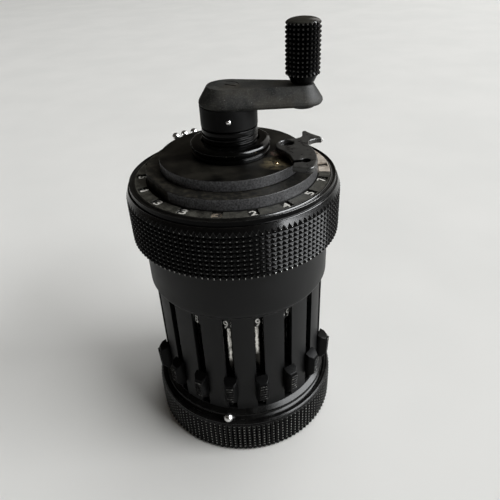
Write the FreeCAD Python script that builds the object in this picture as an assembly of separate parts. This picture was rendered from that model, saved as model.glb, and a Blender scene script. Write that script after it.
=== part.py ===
import FreeCAD, Part
import math
import os

# Hand-cranked pocket calculator: a round barrel with setting sliders, a carriage on top that
# lifts and turns and carries the result and counter dials, and a crank through the middle.
# Millimetres. The base stands on z = 0, the crank turns about the Z axis, the front is -Y.
# A place round the barrel is an angle in degrees from the front, positive to the right (+X).

V = FreeCAD.Vector
UP = V(0, 0, 1)
ORIGIN = V(0, 0, 0)

# Digit places round the axis
PLACE_PITCH = 20.0
BLANK_PLACE = -148.4
RESULT_DIALS = 11
COUNTER_DIALS = 6
SLIDERS = 8
UNITS_PLACE = BLANK_PLACE + RESULT_DIALS * PLACE_PITCH
COUNTER_UNITS_PLACE = UNITS_PLACE + COUNTER_DIALS * PLACE_PITCH

# Base
BASE_R = 26.35
BASE_TOP = 10.5
COVER_R = 24.5
COVER_T = 1.6
BASE_KNURL_DEPTH = 0.5
BASE_KNURL_ROWS = 9
TRACK_STEP_R = 25.4
TRACK_STEP_Z = 9.3
TRACK_OUT_R = 26.0
TRACK_EDGE = ((26.0, 10.95), (25.85, 11.2))
TRACK_TOP = 13.65
MARKER_R = 1.2
BASE_MARKER_RING_R = 25.29
BASE_MARKER_Z = 12.64
BASE_MARKER_PLACE = -10.9
TRACK_GROOVE_R = 1.3
TRACK_SLOT = (1.1, 1.95)
TRACK_SLOT_HALF = 0.38
BASE_STEM_R = 0.3
BASE_STEM = 1.85

# Barrel
BARREL_R = 22.9
BARREL_IN_R = 21.9
BAND_R = 23.85
BAND_FROM = 47.0
SLOT_TOP = 45.6
SLOT_BOTTOM = 13.9
SLOT_W = 2.4
BARREL_TOP = 59.9
BARREL_CHAMFER = 0.3

# Inner frame
LOWER_PLATE = (5.0, 8.0)
UPPER_PLATE = (55.0, 58.4)
PILLAR_R = 1.6
PILLAR_PLACES = (101.6, 151.6, 201.6, 251.6)
SCREW_PLACES = (1.6, 121.6, 231.6)
SCREW_RING_R = 19.8
SCREW_R = 1.0
SCREW_HEAD_R = 1.9
SCREW_HEAD_T = 1.0
SCREW_SEAT = 0.2
DRIVE_SLOT_W = 0.5
DRIVE_SLOT_DEPTH = 0.4

# Setting mechanism
SHAFT_RING_R = 18.7
SHAFT_R = 2.3
SHAFT_WAIST_R = 1.2
SHAFT_WAIST = (8.3, 54.7)
SHAFT_TOP = 58.0
JOURNAL_R = 0.8
JOURNAL_GAP = 0.06
ROLLER_R = 2.85
ROLLER = (41.6, 46.6)
GROOVED = (17.0, 41.3)
SLIDE_TRAVEL = 15.3
SPIRAL_PITCH = 17.0
SPIRAL_DEPTH = 0.9
SPIRAL_TALL = 2.0
SPIRAL_SPARE = 1.0
PIN_Z = 22.5
PIN_R = 0.4
PIN_END = 20.35
KNOB_W = 3.4
KNOB_FRONT_W = 2.0
KNOB_INNER = 23.15
KNOB_SHOULDER = 24.2
KNOB_REACH = 26.4
KNOB_PROFILE = ((23.15, 26.1), (25.6, 25.0), (25.9, 23.5), (25.5, 18.8), (24.4, 18.0), (23.15, 18.0))
SERRATIONS = 5
SERRATION_FROM = 19.7
SERRATION_PITCH = 1.05
SERRATION_W = 0.45
SERRATION_R = 25.3
NECK_W = 2.2
NECK = (19.5, 25.5)
NECK_END = 23.4
ARM = (20.0, 25.0)
ARM_T = 0.8
ARM_FROM = 15.2
ARM_PLACE = PLACE_PITCH / 2
FORK = (24.0, 24.6)
SKIRT_R = (21.3, 21.6)
SKIRT_PLACES = (-5, 3, 11.5)

# Transmission
AXLE_RING_R = 13.2
AXLE_R = 0.8
AXLE_TOP = 66.8
GEAR_R = 1.9
GEAR_ROOT_R = 1.35
GEAR_TEETH = 10
TOP_GEAR = (66.2, 67.8)
CARRY_GEAR = (49.0, 51.0)
PINION_Z = 22.0
PINION_T = 0.8
PINION_HUB_R = 1.3
PINION_HUB_TOP = 25.2
PINION_FLANGE_R = 1.7
PINION_FLANGE = 23.3
FORK_GAP = 0.05

# Crank shaft, stepped drum and tens bell
MAIN_R = 3.0
MAIN_GAP = 0.06
MAIN_BOTTOM = 4.2
THRUST_R = 4.4
THRUST = (8.4, 9.6)
DRUM_R = 11.0
DRUM_CORE_R = 9.3
DRUM = (18.4, 38.6)
DRUM_HOLLOW_R = (4.8, 7.6)
DRUM_WEB = 2.0
FIRST_TOOTH_PLACE = 146
DIGIT_STEP = SLIDE_TRAVEL / 9
ROW_T = DIGIT_STEP / 2
CRANK_LIFT = 1.5 * DIGIT_STEP
TOOTH_PITCH = 6.0
TOOTH_W = 1.1
BELL_R = 11.0
BELL = (47.3, 54.8)
BELL_HUB = (4.6, 51.0)
BELL_WEB = (52.6, 53.6)
BELL_WALL = 0.5
CARRY_TOOTH_PLACE = 215
CARRY_TOOTH_W = 1.2
CARRY_TOOTH = (48.8, 51.3)

# Fixed centre tube and its grooved nut
TUBE_R = 5.2
TUBE_BORE_R = 3.3
TUBE_FLANGE_R = 8.5
TUBE_FLANGE_TOP = 59.6
NUT_R = 6.6
NUT = (80.0, 85.95)
NUT_GROOVES = (82.6, 83.6, 84.6)
NUT_GROOVE_HALF = 0.25
NUT_GROOVE_DEPTH = 0.35
NUT_CHAMFER = 0.3

# Carriage
CARRIAGE_R = 26.5
CARRIAGE_BOTTOM = 60.1
KNURL_TOP = 71.1
KNURL_DEPTH = 0.6
KNURL_ROWS = 10
SHOULDER = (25.8, 72.9)
RIM_CHAMFER = 0.15
RIM_LIP = 0.6
CARRIAGE_IN_R = 24.5
RIM_TOP = 74.2
RIM_R = 25.35
RIM_IN_R = 23.9
RIM_GROOVE_R = 24.65
RIM_GROOVE_HALF = 0.45
RIM_GROOVE_DEPTH = 0.6
TOP_MARKER_PLACES = (-141.1, -147.4, -154.1)
TOP_MARKER_R = 1.0
TOP_MARKER_Z = 76.8
MARKER_STEM_R = 0.4
MARKER_FOOT = (0.8, 0.5, 1.0)
MARKER_GAP = 0.06
COVER_UNDER = 73.9
COVER_PLATE_UNDER = 74.6
STEP_R = 20.9
STEP_TOP = 76.9
STEP_FLAT_PLACE = -58.5
STEP_FLAT_HALF = 16.5
RUN_R = 8.28
RUN_GAP = 0.08
WINDOW_W = 2.5
WINDOW = (21.0, 23.6)
FRAME_IN_R = 15.7
FRAME_FLOOR = (60.4, 61.6)
WALL_R = (18.0, 19.4)
DIAL_R = 3.4
DIAL_Z = 70.5
DIAL = (21.1, 23.5)
DIAL_GEAR = (16.0, 17.2)
DIAL_GEAR_R = 2.6
DIAL_GEAR_ROOT_R = 1.9
DIAL_AXLE_R = 0.6
DIAL_AXLE = (15.6, 25.0)
DIAL_GAP = 0.06

# Sleeve with the visible collar
SLEEVE_BORE_R = 5.27
SLEEVE_R = 6.6
SLEEVE_SEAT_R = 9.4
SLEEVE_BOTTOM = 62.0
SLEEVE_SEAT = (73.0, 74.5)
SLEEVE_THREAD_R = 7.6
CUP_R = 6.95
CUP_FLOOR = 76.9
COLLAR_TOP = 82.9
COLLAR_LEDGE = 0.8
COLLAR_FOOT_R = 9.35
COLLAR_FOOT_TOP = 80.4
COLLAR_BULGE = ((9.1, 80.5), (9.35, 80.8), (9.6, 81.5), (9.6, 82.0), (9.3, 82.45), (8.7, 82.75), (7.8, 82.9))

# Clearing disc and lever
DISC_R = 17.4
DISC = (77.0, 79.5)
DISC_EDGE = 0.25
DISC_GAP = 0.1
DISC_SINK = 0.5
LEVER = (79.7, 81.0)
LEVER_PIVOT = (13.4, -0.5)
LEVER_SCREW_R = 1.0
LEVER_HEAD_R = 1.6
LEVER_SEAT_Z = 80.0
LEVER_HEAD_T = 0.4
LEVER_HOLE = (16.63, -11.56)
RECESS = (12.0, -7.2)
RECESS_R = 2.9
PIN_SPOT = (10.3, -8.8)
STOP_PIN_R = 0.45
LEVER_HOLE_R = 0.75
LEVER_MARK = (2.9, 0.45, 0.3)
LEVER_MARK_TURN = 11.6

# Crank
HUB_R = 6.7
HUB = (86.2, 91.0)
HUB_CHAMFER = 0.25
CROSS_PIN_R = 0.65
CROSS_PIN_Z = 88.5
ARM_BOTTOM = 91.0
ARM_RIDGE = 92.0
ARM_TOP = 95.2
ARM_HUB_R = 6.75
ARM_KNOB_R = 4.6
ARM_UNDERCUT = 0.15
ARM_SLOPE = 2.2
ARM_SCREW_R = 1.2
ARM_SCREW_HEAD_R = 2.6
ARM_SCREW_HEAD_T = 0.8
ARM_SCREW_SUNK = 0.1
ARM_SCREW_END = 89.4
ARM_SCREW_TURN = -35
KNOB_AT = (16.8, -2.0)
KNOB_R = 3.85
KNOB_FOOT_R = 2.5
KNOB = (95.45, 108.7)
KNOB_BODY = (97.0, 108.0)
KNOB_KNURL_DEPTH = 0.45
KNOB_ROWS = 12
KNOB_DOME = ((0.45, 108.25), (1.3, 108.5), (2.3, 108.65))
KNOB_BORE_TOP = 105.4
SPINDLE_R = 1.25
RIVET_R = 2.3
RIVET_T = 0.5
SPINDLE_TOP = 105.0

# Reversing lever at the back
REVERSER_PLACE = 171.6
REVERSER_SLOT = (46.9, 54.0)
REVERSER_KNOB = (48.0, 51.0)
REVERSER_NECK_W = 1.8
REVERSER_NECK = (48.4, 50.6)
REVERSER_PLAY = 0.2
REVERSER_KNOB_W = 3.4
REVERSER_KNOB_R = (24.05, 25.75)
REVERSER_NOTCH_FROM = 48.55
REVERSER_NOTCH_PITCH = 0.8
REVERSER_NOTCH_W = 0.35
REVERSER_PLATE_W = 4.4
REVERSER_PLATE = (47.4, 51.4)


def turned(profile):
    """Solid of revolution about Z from corners given as radius and height."""
    corners = [V(r, 0, z) for r, z in profile]
    face = Part.Face(Part.makePolygon(corners + corners[:1]))
    return face.revolve(ORIGIN, UP, 360)


def swung(shape, place):
    """Copy of a shape built at the front, moved round to a place."""
    copy = shape.copy()
    copy.rotate(ORIGIN, UP, place)
    return copy


def rod(r, z0, z1, x=0, y=0):
    return Part.makeCylinder(r, z1 - z0, V(x, y, z0))


def annulus(r_out, r_in, z0, z1):
    return rod(r_out, z0, z1).cut(rod(r_in, z0, z1))


def spoke(r, start, end, z):
    """Cylinder lying along a radius at the front, between two distances from the axis."""
    return Part.makeCylinder(r, end - start, V(0, -start, z), V(0, -1, 0))


def block(width, start, end, z0, z1):
    """Box at the front, centred on the radius, between two distances from the axis."""
    return Part.makeBox(width, end - start, z1 - z0, V(-width / 2, -end, z0))


def ring_point(r, place):
    a = math.radians(place)
    return r * math.sin(a), -r * math.cos(a)


def prism(points, z0, z1):
    corners = [V(x, y, z0) for x, y in points]
    face = Part.Face(Part.makePolygon(corners + corners[:1]))
    return face.extrude(V(0, 0, z1 - z0))


def gear(tip_r, root_r, z0, z1):
    """Small gear with pointed teeth, about Z."""
    points = []
    for i in range(2 * GEAR_TEETH):
        r = root_r if i % 2 else tip_r
        a = math.pi * i / GEAR_TEETH
        points.append((r * math.cos(a), r * math.sin(a)))
    return prism(points, z0, z1)


def knurl_rows(r, depth, z0, z1, rows):
    """Corners of a ridged outside wall from bottom to top, one ridge per row."""
    pitch = (z1 - z0) / rows
    corners = [(r - depth, z0)]
    for i in range(rows):
        corners.append((r, z0 + (i + 0.5) * pitch))
        corners.append((r - depth, z0 + (i + 1) * pitch))
    return corners


def save(name, *solids):
    shape = solids[0] if len(solids) == 1 else Part.makeCompound(list(solids))
    shape.exportStep("parts/" + name + ".step")


def result_place(number):
    """Place of a result dial or slider, where number 1 is the units digit."""
    return UNITS_PLACE - (number - 1) * PLACE_PITCH


def counter_place(number):
    return COUNTER_UNITS_PLACE - (number - 1) * PLACE_PITCH


slider_places = [result_place(n) for n in range(1, SLIDERS + 1)]
dial_places = [result_place(n) for n in range(1, RESULT_DIALS + 1)]
dial_places += [counter_place(n) for n in range(1, COUNTER_DIALS + 1)]


# Base: bottom cover, knurled ring and the ledge on which the decimal marker runs
def base_cover():
    cover = turned([(0, 0), (COVER_R - 0.4, 0), (COVER_R, 0.4), (COVER_R, COVER_T), (0, COVER_T)])
    for place in SCREW_PLACES:
        x, y = ring_point(SCREW_RING_R, place)
        cover = cover.cut(rod(SCREW_R, 0, COVER_T, x, y))
        cover = cover.cut(rod(SCREW_HEAD_R, 0, SCREW_SEAT + SCREW_HEAD_T, x, y))
    return cover


def base_ring():
    root = BASE_R - BASE_KNURL_DEPTH
    outside = [(COVER_R, 0), (root, 0)]
    outside += knurl_rows(BASE_R, BASE_KNURL_DEPTH, 0.4, BASE_TOP - 0.2, BASE_KNURL_ROWS)
    outside += [(root, BASE_TOP), (TRACK_STEP_R, BASE_TOP), (TRACK_STEP_R, TRACK_STEP_Z)]
    outside += [(BARREL_R, TRACK_STEP_Z), (BARREL_R, COVER_T), (COVER_R, COVER_T)]
    return turned(outside)


def ledge_normal():
    """Outward and upward part of the direction square to the ledge's sloping top."""
    edge_r, edge_z = TRACK_EDGE[1]
    run, drop = edge_r - BARREL_R, TRACK_TOP - edge_z
    slope = math.hypot(run, drop)
    return drop / slope, run / slope


def marker_track():
    """Sloping ledge with a shallow channel for the bead and a narrow slot for its stem."""
    ledge = turned([
        (BARREL_R, TRACK_STEP_Z), (TRACK_STEP_R, TRACK_STEP_Z), (TRACK_STEP_R, BASE_TOP),
        (TRACK_OUT_R, BASE_TOP), *TRACK_EDGE, (BARREL_R, TRACK_TOP),
    ])
    out, up = ledge_normal()
    shallow, deep = TRACK_SLOT

    def at(side, depth):
        return BASE_MARKER_RING_R - out * depth + up * side, BASE_MARKER_Z - up * depth - out * side

    half = TRACK_SLOT_HALF
    slot = turned([at(-half, shallow), at(half, shallow), at(half, deep), at(-half, deep)])
    channel = Part.makeTorus(BASE_MARKER_RING_R, TRACK_GROOVE_R, V(0, 0, BASE_MARKER_Z))
    return ledge.cut(channel).cut(slot)


# Barrel with the slots for the sliders and the slot for the reversing lever
def barrel():
    body = turned([
        (BARREL_IN_R, COVER_T), (BARREL_R, COVER_T), (BARREL_R, SLOT_TOP), (BAND_R, BAND_FROM),
        (BAND_R, BARREL_TOP - BARREL_CHAMFER), (BAND_R - BARREL_CHAMFER, BARREL_TOP),
        (BARREL_IN_R, BARREL_TOP),
    ])
    slot = block(SLOT_W, BARREL_IN_R - 1, BARREL_R + 1, SLOT_BOTTOM, SLOT_TOP)
    slots = [swung(slot, place) for place in slider_places]
    back_slot = block(REVERSER_NECK_W + 2 * REVERSER_PLAY, BARREL_IN_R - 1, BAND_R + 1, *REVERSER_SLOT)
    slots.append(swung(back_slot, REVERSER_PLACE))
    return body.cut(Part.makeCompound(slots))


# Frame: two bearing plates held apart by pillars, screwed to the bottom cover
def lower_plate():
    z0, z1 = LOWER_PLATE
    holes = [rod(MAIN_R + MAIN_GAP, z0, z1)]
    for place in slider_places:
        holes.append(rod(JOURNAL_R + JOURNAL_GAP, z0, z1, *ring_point(SHAFT_RING_R, place)))
    for place in dial_places:
        holes.append(rod(AXLE_R, z0, z1, *ring_point(AXLE_RING_R, place)))
    for place in SCREW_PLACES:
        holes.append(rod(SCREW_R, z0, z1, *ring_point(SCREW_RING_R, place)))
    return rod(BARREL_IN_R, z0, z1).cut(Part.makeCompound(holes))


def upper_plate():
    z0, z1 = UPPER_PLATE
    holes = [rod(TUBE_R, z0, z1)]
    for place in slider_places:
        holes.append(rod(JOURNAL_R + JOURNAL_GAP, z0, z1, *ring_point(SHAFT_RING_R, place)))
    for place in dial_places:
        holes.append(rod(AXLE_R, z0, z1, *ring_point(AXLE_RING_R, place)))
    return rod(BARREL_IN_R, z0, z1).cut(Part.makeCompound(holes))


def pillars_and_screws():
    pieces = []
    for place in PILLAR_PLACES:
        x, y = ring_point(SHAFT_RING_R, place)
        pieces.append(rod(PILLAR_R, LOWER_PLATE[1], UPPER_PLATE[0], x, y))
    for place in SCREW_PLACES:
        x, y = ring_point(SCREW_RING_R, place)
        head = rod(SCREW_HEAD_R, SCREW_SEAT, SCREW_SEAT + SCREW_HEAD_T, x, y)
        screw = head.fuse(rod(SCREW_R, SCREW_SEAT, LOWER_PLATE[1], x, y))
        drive_slot = Part.makeBox(2 * SCREW_HEAD_R, DRIVE_SLOT_W, DRIVE_SLOT_DEPTH)
        drive_slot.translate(V(x - SCREW_HEAD_R, y - DRIVE_SLOT_W / 2, SCREW_SEAT))
        pieces.append(screw.cut(drive_slot))
    return pieces


def centre_tube():
    foot = UPPER_PLATE[1]
    return turned([
        (TUBE_BORE_R, UPPER_PLATE[0]), (TUBE_R, UPPER_PLATE[0]), (TUBE_R, foot),
        (TUBE_FLANGE_R, foot), (TUBE_FLANGE_R, TUBE_FLANGE_TOP), (TUBE_R, TUBE_FLANGE_TOP),
        (TUBE_R, NUT[1]), (MAIN_R + MAIN_GAP, NUT[1]), (MAIN_R + MAIN_GAP, NUT[0] + 2),
        (TUBE_BORE_R, NUT[0] + 2),
    ])


def grooved_nut():
    z0, z1 = NUT
    outside = [(TUBE_R, z0), (NUT_R, z0)]
    for z in NUT_GROOVES:
        outside += [(NUT_R, z - NUT_GROOVE_HALF), (NUT_R - NUT_GROOVE_DEPTH, z)]
        outside.append((NUT_R, z + NUT_GROOVE_HALF))
    outside += [(NUT_R, z1 - NUT_CHAMFER), (NUT_R - NUT_CHAMFER, z1), (TUBE_R, z1)]
    return turned(outside)


def transmission_axles():
    x, y = ring_point(AXLE_RING_R, 0)
    axle = rod(AXLE_R, LOWER_PLATE[0], AXLE_TOP, x, y)
    for z0, z1 in (CARRY_GEAR, TOP_GEAR):
        wheel = gear(GEAR_R, GEAR_ROOT_R, z0, z1)
        wheel.translate(V(x, y, 0))
        axle = axle.fuse(wheel)
    return [swung(axle, place) for place in dial_places]


# Setting shaft: number roller on top, spiral groove that the slider's pin runs in
def setting_shaft():
    waist0, waist1 = SHAFT_WAIST
    shaft = turned([
        (0, LOWER_PLATE[0]), (JOURNAL_R, LOWER_PLATE[0]), (JOURNAL_R, waist0), (SHAFT_WAIST_R, waist0),
        (SHAFT_WAIST_R, GROOVED[0]), (SHAFT_R, GROOVED[0]), (SHAFT_R, GROOVED[1]),
        (SHAFT_WAIST_R, GROOVED[1]), (SHAFT_WAIST_R, ROLLER[0]), (ROLLER_R, ROLLER[0]),
        (ROLLER_R, ROLLER[1]), (SHAFT_WAIST_R, ROLLER[1]), (SHAFT_WAIST_R, waist1),
        (JOURNAL_R, waist1), (JOURNAL_R, SHAFT_TOP), (0, SHAFT_TOP),
    ])
    length = SLIDE_TRAVEL + 2 * SPIRAL_SPARE
    path = Part.makeHelix(SPIRAL_PITCH, length, SHAFT_R)
    inner = SHAFT_R - SPIRAL_DEPTH
    outer = SHAFT_R + 0.3
    half = SPIRAL_TALL / 2
    section = Part.makePolygon([
        V(inner, 0, -half), V(outer, 0, -half), V(outer, 0, half), V(inner, 0, half),
        V(inner, 0, -half),
    ])
    groove = Part.Wire(path).makePipeShell([section], True, True)
    groove.translate(V(0, 0, PIN_Z - SPIRAL_SPARE))
    lead_in = 360.0 * SPIRAL_SPARE / SPIRAL_PITCH
    groove.rotate(ORIGIN, UP, -90 - lead_in)
    shaft = shaft.cut(groove)
    shaft.translate(V(0, -SHAFT_RING_R, 0))
    return shaft


# Setting slider: serrated knob, neck through the slot, pin in the spiral groove, and an arm
# with a fork that moves the pinion along its transmission axle
def slider_knob():
    corners = [V(-KNOB_W / 2, -r, z) for r, z in KNOB_PROFILE]
    face = Part.Face(Part.makePolygon(corners + corners[:1]))
    knob = face.extrude(V(KNOB_W, 0, 0))
    half, front = KNOB_W / 2, KNOB_FRONT_W / 2
    plan = [(-half, -KNOB_INNER), (half, -KNOB_INNER), (half, -KNOB_SHOULDER), (front, -KNOB_REACH),
            (-front, -KNOB_REACH), (-half, -KNOB_SHOULDER)]
    knob = knob.common(prism(plan, KNOB_PROFILE[-1][1] - 1, KNOB_PROFILE[0][1] + 1))
    for i in range(SERRATIONS):
        z = SERRATION_FROM + i * SERRATION_PITCH
        knob = knob.cut(block(KNOB_W, SERRATION_R, KNOB_REACH, z, z + SERRATION_W))
    return knob


def slider():
    neck = block(NECK_W, SKIRT_R[0], NECK_END, *NECK)
    pin = spoke(PIN_R, PIN_END, SKIRT_R[0] + 0.1, PIN_Z)
    skirt = annulus(SKIRT_R[1], SKIRT_R[0], *ARM)
    fan = [(0, 0)] + [ring_point(BASE_R, place) for place in SKIRT_PLACES]
    skirt = skirt.common(prism(fan, *ARM))
    arm = swung(block(ARM_T, ARM_FROM, SKIRT_R[1] - 0.05, *ARM), ARM_PLACE)
    return slider_knob().fuse([neck, pin, skirt, arm, fork()])


def fork():
    """Flat finger from the arm's tip round the pinion's hub."""
    x, y = ring_point(AXLE_RING_R, 0)
    tip_x, tip_y = ring_point(ARM_FROM + 0.4, ARM_PLACE)
    finger = prism([(x - 1.9, y + 0.6), (x + 1.6, y + 1.0), (tip_x + 0.35, tip_y),
                    (tip_x - 0.35, tip_y - 0.3), (x - 1.6, y - 1.7)], *FORK)
    return finger.cut(rod(PINION_HUB_R + MAIN_GAP, *FORK, x, y))


def sliding_pinion():
    wheel = gear(GEAR_R, GEAR_ROOT_R, PINION_Z - PINION_T / 2, PINION_Z + PINION_T / 2)
    wheel = wheel.fuse([
        rod(PINION_HUB_R, PINION_Z, PINION_HUB_TOP),
        rod(PINION_FLANGE_R, PINION_FLANGE, FORK[0] - FORK_GAP),
        rod(PINION_FLANGE_R, FORK[1] + FORK_GAP, PINION_HUB_TOP),
    ])
    wheel = wheel.cut(rod(AXLE_R + MAIN_GAP, PINION_Z - PINION_T, PINION_HUB_TOP))
    wheel.translate(V(*ring_point(AXLE_RING_R, 0), 0))
    return wheel


# Crank shaft and what turns with it
def main_shaft():
    shaft = turned([
        (0, MAIN_BOTTOM), (MAIN_R - 0.4, MAIN_BOTTOM), (MAIN_R, MAIN_BOTTOM + 0.4),
        (MAIN_R, THRUST[0]), (THRUST_R, THRUST[0]), (THRUST_R, THRUST[1]), (MAIN_R, THRUST[1]),
        (MAIN_R, HUB[1]), (0, HUB[1]),
    ])
    shaft = shaft.cut(rod(ARM_SCREW_R, ARM_SCREW_END, HUB[1]))
    return shaft.cut(cross_pin())


def cross_pin():
    return Part.makeCylinder(CROSS_PIN_R, 2 * HUB_R, V(0, -HUB_R, CROSS_PIN_Z), V(0, 1, 0))


def step_drum():
    """Ten rows of teeth for adding and, half a step lower, ten rows for subtracting."""
    teeth = []
    for tooth in range(1, 10):
        bar = block(TOOTH_W, DRUM_CORE_R - 0.4, DRUM_R, 0, ROW_T)
        bar = swung(bar, FIRST_TOOTH_PLACE + (tooth - 1) * TOOTH_PITCH)
        for digit in range(10):
            adding_z = PINION_Z + (9 - digit) * DIGIT_STEP
            if digit >= tooth:
                teeth.append(bar.translated(V(0, 0, adding_z - ROW_T / 2)))
            if 9 - digit >= tooth:
                teeth.append(bar.translated(V(0, 0, adding_z - CRANK_LIFT - ROW_T / 2)))
    drum = annulus(DRUM_CORE_R, MAIN_R, *DRUM)
    hollow_in, hollow_out = DRUM_HOLLOW_R
    drum = drum.cut(annulus(hollow_out, hollow_in, DRUM[0], DRUM[1] - DRUM_WEB))
    return drum.fuse(teeth).removeSplitter()


def tens_bell():
    z0, z1 = BELL
    bore = MAIN_R + MAIN_GAP
    hub_r, hub_bottom = BELL_HUB
    web0, web1 = BELL_WEB
    wall_out = BELL_R - 0.6
    wall_in = wall_out - BELL_WALL
    bell = turned([
        (bore, hub_bottom), (hub_r, hub_bottom), (hub_r, web0), (wall_in, web0), (wall_in, z0),
        (wall_out, z0), (wall_out, web1), (hub_r, web1), (hub_r, z1), (bore, z1),
    ])
    tooth = block(CARRY_TOOTH_W, BELL_R - 1.0, BELL_R, *CARRY_TOOTH)
    return bell.fuse(swung(tooth, CARRY_TOOTH_PLACE))


def crank_hub():
    hub = turned([
        (MAIN_R, HUB[0]), (HUB_R - HUB_CHAMFER, HUB[0]), (HUB_R, HUB[0] + HUB_CHAMFER),
        (HUB_R, HUB[1]), (MAIN_R, HUB[1]),
    ])
    return hub.cut(cross_pin())


def arm_outline(inset, z):
    """Rounded outline of the arm: a large arc at the hub, a small one at the knob."""
    big, small = ARM_HUB_R - inset, ARM_KNOB_R - inset
    kx, ky = KNOB_AT
    reach = math.hypot(kx, ky)
    heading = math.atan2(ky, kx)
    lean = math.acos((big - small) / reach)

    def on(cx, cy, r, angle):
        return V(cx + r * math.cos(angle), cy + r * math.sin(angle), z)

    left, right = heading + lean, heading - lean
    a, b = on(0, 0, big, left), on(0, 0, big, right)
    c, d = on(kx, ky, small, right), on(kx, ky, small, left)
    return Part.Wire([
        Part.Arc(a, on(0, 0, big, heading + math.pi), b).toShape(),
        Part.makeLine(b, c),
        Part.Arc(c, on(kx, ky, small, heading), d).toShape(),
        Part.makeLine(d, a),
    ])


def crank_arm():
    lower = Part.makeLoft([arm_outline(ARM_UNDERCUT, ARM_BOTTOM), arm_outline(0, ARM_RIDGE)], True, True)
    upper = Part.makeLoft([arm_outline(0, ARM_RIDGE), arm_outline(ARM_SLOPE, ARM_TOP)], True, True)
    arm = lower.fuse(upper)
    arm = arm.cut(rod(ARM_SCREW_R, ARM_BOTTOM, ARM_TOP))
    arm = arm.cut(rod(ARM_SCREW_HEAD_R, ARM_TOP - ARM_SCREW_SUNK - ARM_SCREW_HEAD_T, ARM_TOP))
    return arm.cut(rod(SPINDLE_R, ARM_BOTTOM, ARM_TOP, *KNOB_AT))


def arm_screw():
    top = ARM_TOP - ARM_SCREW_SUNK
    head = rod(ARM_SCREW_HEAD_R, top - ARM_SCREW_HEAD_T, top)
    screw = head.fuse(rod(ARM_SCREW_R, ARM_SCREW_END, top))
    drive_slot = Part.makeBox(2 * ARM_SCREW_HEAD_R, DRIVE_SLOT_W, DRIVE_SLOT_DEPTH)
    drive_slot.translate(V(-ARM_SCREW_HEAD_R, -DRIVE_SLOT_W / 2, top - DRIVE_SLOT_DEPTH))
    drive_slot.rotate(ORIGIN, UP, ARM_SCREW_TURN)
    return screw.cut(drive_slot)


def knob_spindle():
    rivet = rod(RIVET_R, ARM_BOTTOM - RIVET_T, ARM_BOTTOM, *KNOB_AT)
    return rivet.fuse(rod(SPINDLE_R, ARM_BOTTOM - RIVET_T, SPINDLE_TOP, *KNOB_AT))


def crank_knob():
    z0, z1 = KNOB
    body0, body1 = KNOB_BODY
    bore = SPINDLE_R + MAIN_GAP
    outside = [(bore, z0), (KNOB_FOOT_R, z0), (KNOB_R - KNOB_KNURL_DEPTH, body0)]
    outside += knurl_rows(KNOB_R, KNOB_KNURL_DEPTH, body0, body1, KNOB_ROWS)
    outside += [(KNOB_R - inset, z) for inset, z in KNOB_DOME]
    outside += [(0, z1), (0, KNOB_BORE_TOP), (bore, KNOB_BORE_TOP)]
    knob = turned(outside)
    knob.translate(V(*KNOB_AT, 0))
    return knob


# Carriage: sleeve with the visible collar, outer ring, frame, top cover and counter plate
def carriage_sleeve():
    seat0, seat1 = SLEEVE_SEAT
    top = DISC[1] + DISC_GAP
    neck_top = COLLAR_TOP - COLLAR_LEDGE
    return turned([
        (SLEEVE_BORE_R, SLEEVE_BOTTOM), (SLEEVE_R, SLEEVE_BOTTOM), (SLEEVE_R, seat0),
        (SLEEVE_SEAT_R, seat0), (SLEEVE_SEAT_R, seat1), (RUN_R - RUN_GAP, seat1),
        (RUN_R - RUN_GAP, top), (SLEEVE_THREAD_R, top), (SLEEVE_THREAD_R, neck_top),
        (CUP_R, neck_top), (CUP_R, CUP_FLOOR), (SLEEVE_BORE_R, CUP_FLOOR),
    ])


def sleeve_collar():
    low = DISC[1] + DISC_GAP
    neck_top = COLLAR_TOP - COLLAR_LEDGE
    return turned([
        (SLEEVE_THREAD_R, low), (COLLAR_FOOT_R, low), (COLLAR_FOOT_R, COLLAR_FOOT_TOP),
        *COLLAR_BULGE, (CUP_R, COLLAR_TOP), (CUP_R, neck_top), (SLEEVE_THREAD_R, neck_top),
    ])


def carriage_ring():
    outside = [(CARRIAGE_IN_R, CARRIAGE_BOTTOM), (CARRIAGE_R - KNURL_DEPTH, CARRIAGE_BOTTOM)]
    outside += knurl_rows(CARRIAGE_R, KNURL_DEPTH, CARRIAGE_BOTTOM + 0.4, KNURL_TOP, KNURL_ROWS)
    outside += [SHOULDER, (RIM_R, RIM_TOP - RIM_CHAMFER), (RIM_R - RIM_CHAMFER, RIM_TOP)]
    outside += [(RIM_IN_R, RIM_TOP), (RIM_IN_R, RIM_TOP - RIM_LIP), (CARRIAGE_IN_R, RIM_TOP - RIM_LIP)]
    ring = turned(outside)
    groove = annulus(RIM_GROOVE_R + RIM_GROOVE_HALF, RIM_GROOVE_R - RIM_GROOVE_HALF,
                  RIM_TOP - RIM_GROOVE_DEPTH, RIM_TOP)
    pivot = spoke(DIAL_AXLE_R + DIAL_GAP, CARRIAGE_IN_R - 1, DIAL_AXLE[1] + 0.2, DIAL_Z)
    pivots = [swung(pivot, place) for place in dial_places]
    return ring.cut(Part.makeCompound([groove] + pivots))


def carriage_frame():
    floor0, floor1 = FRAME_FLOOR
    frame = turned([
        (FRAME_IN_R, floor0), (CARRIAGE_IN_R, floor0), (CARRIAGE_IN_R, floor1),
        (WALL_R[1], floor1), (WALL_R[1], COVER_UNDER), (WALL_R[0], COVER_UNDER),
        (WALL_R[0], floor1), (FRAME_IN_R, floor1),
    ])
    bearing = spoke(DIAL_AXLE_R + DIAL_GAP, WALL_R[0] - 1, WALL_R[1] + 1, DIAL_Z)
    return frame.cut(Part.makeCompound([swung(bearing, place) for place in dial_places]))


def sector(start, end, z0, z1):
    """Wedge between two places, reaching past the carriage."""
    middle = [ring_point(40, start + (end - start) * i / 4) for i in range(5)]
    return prism([(0, 0)] + middle, z0, z1)


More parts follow.
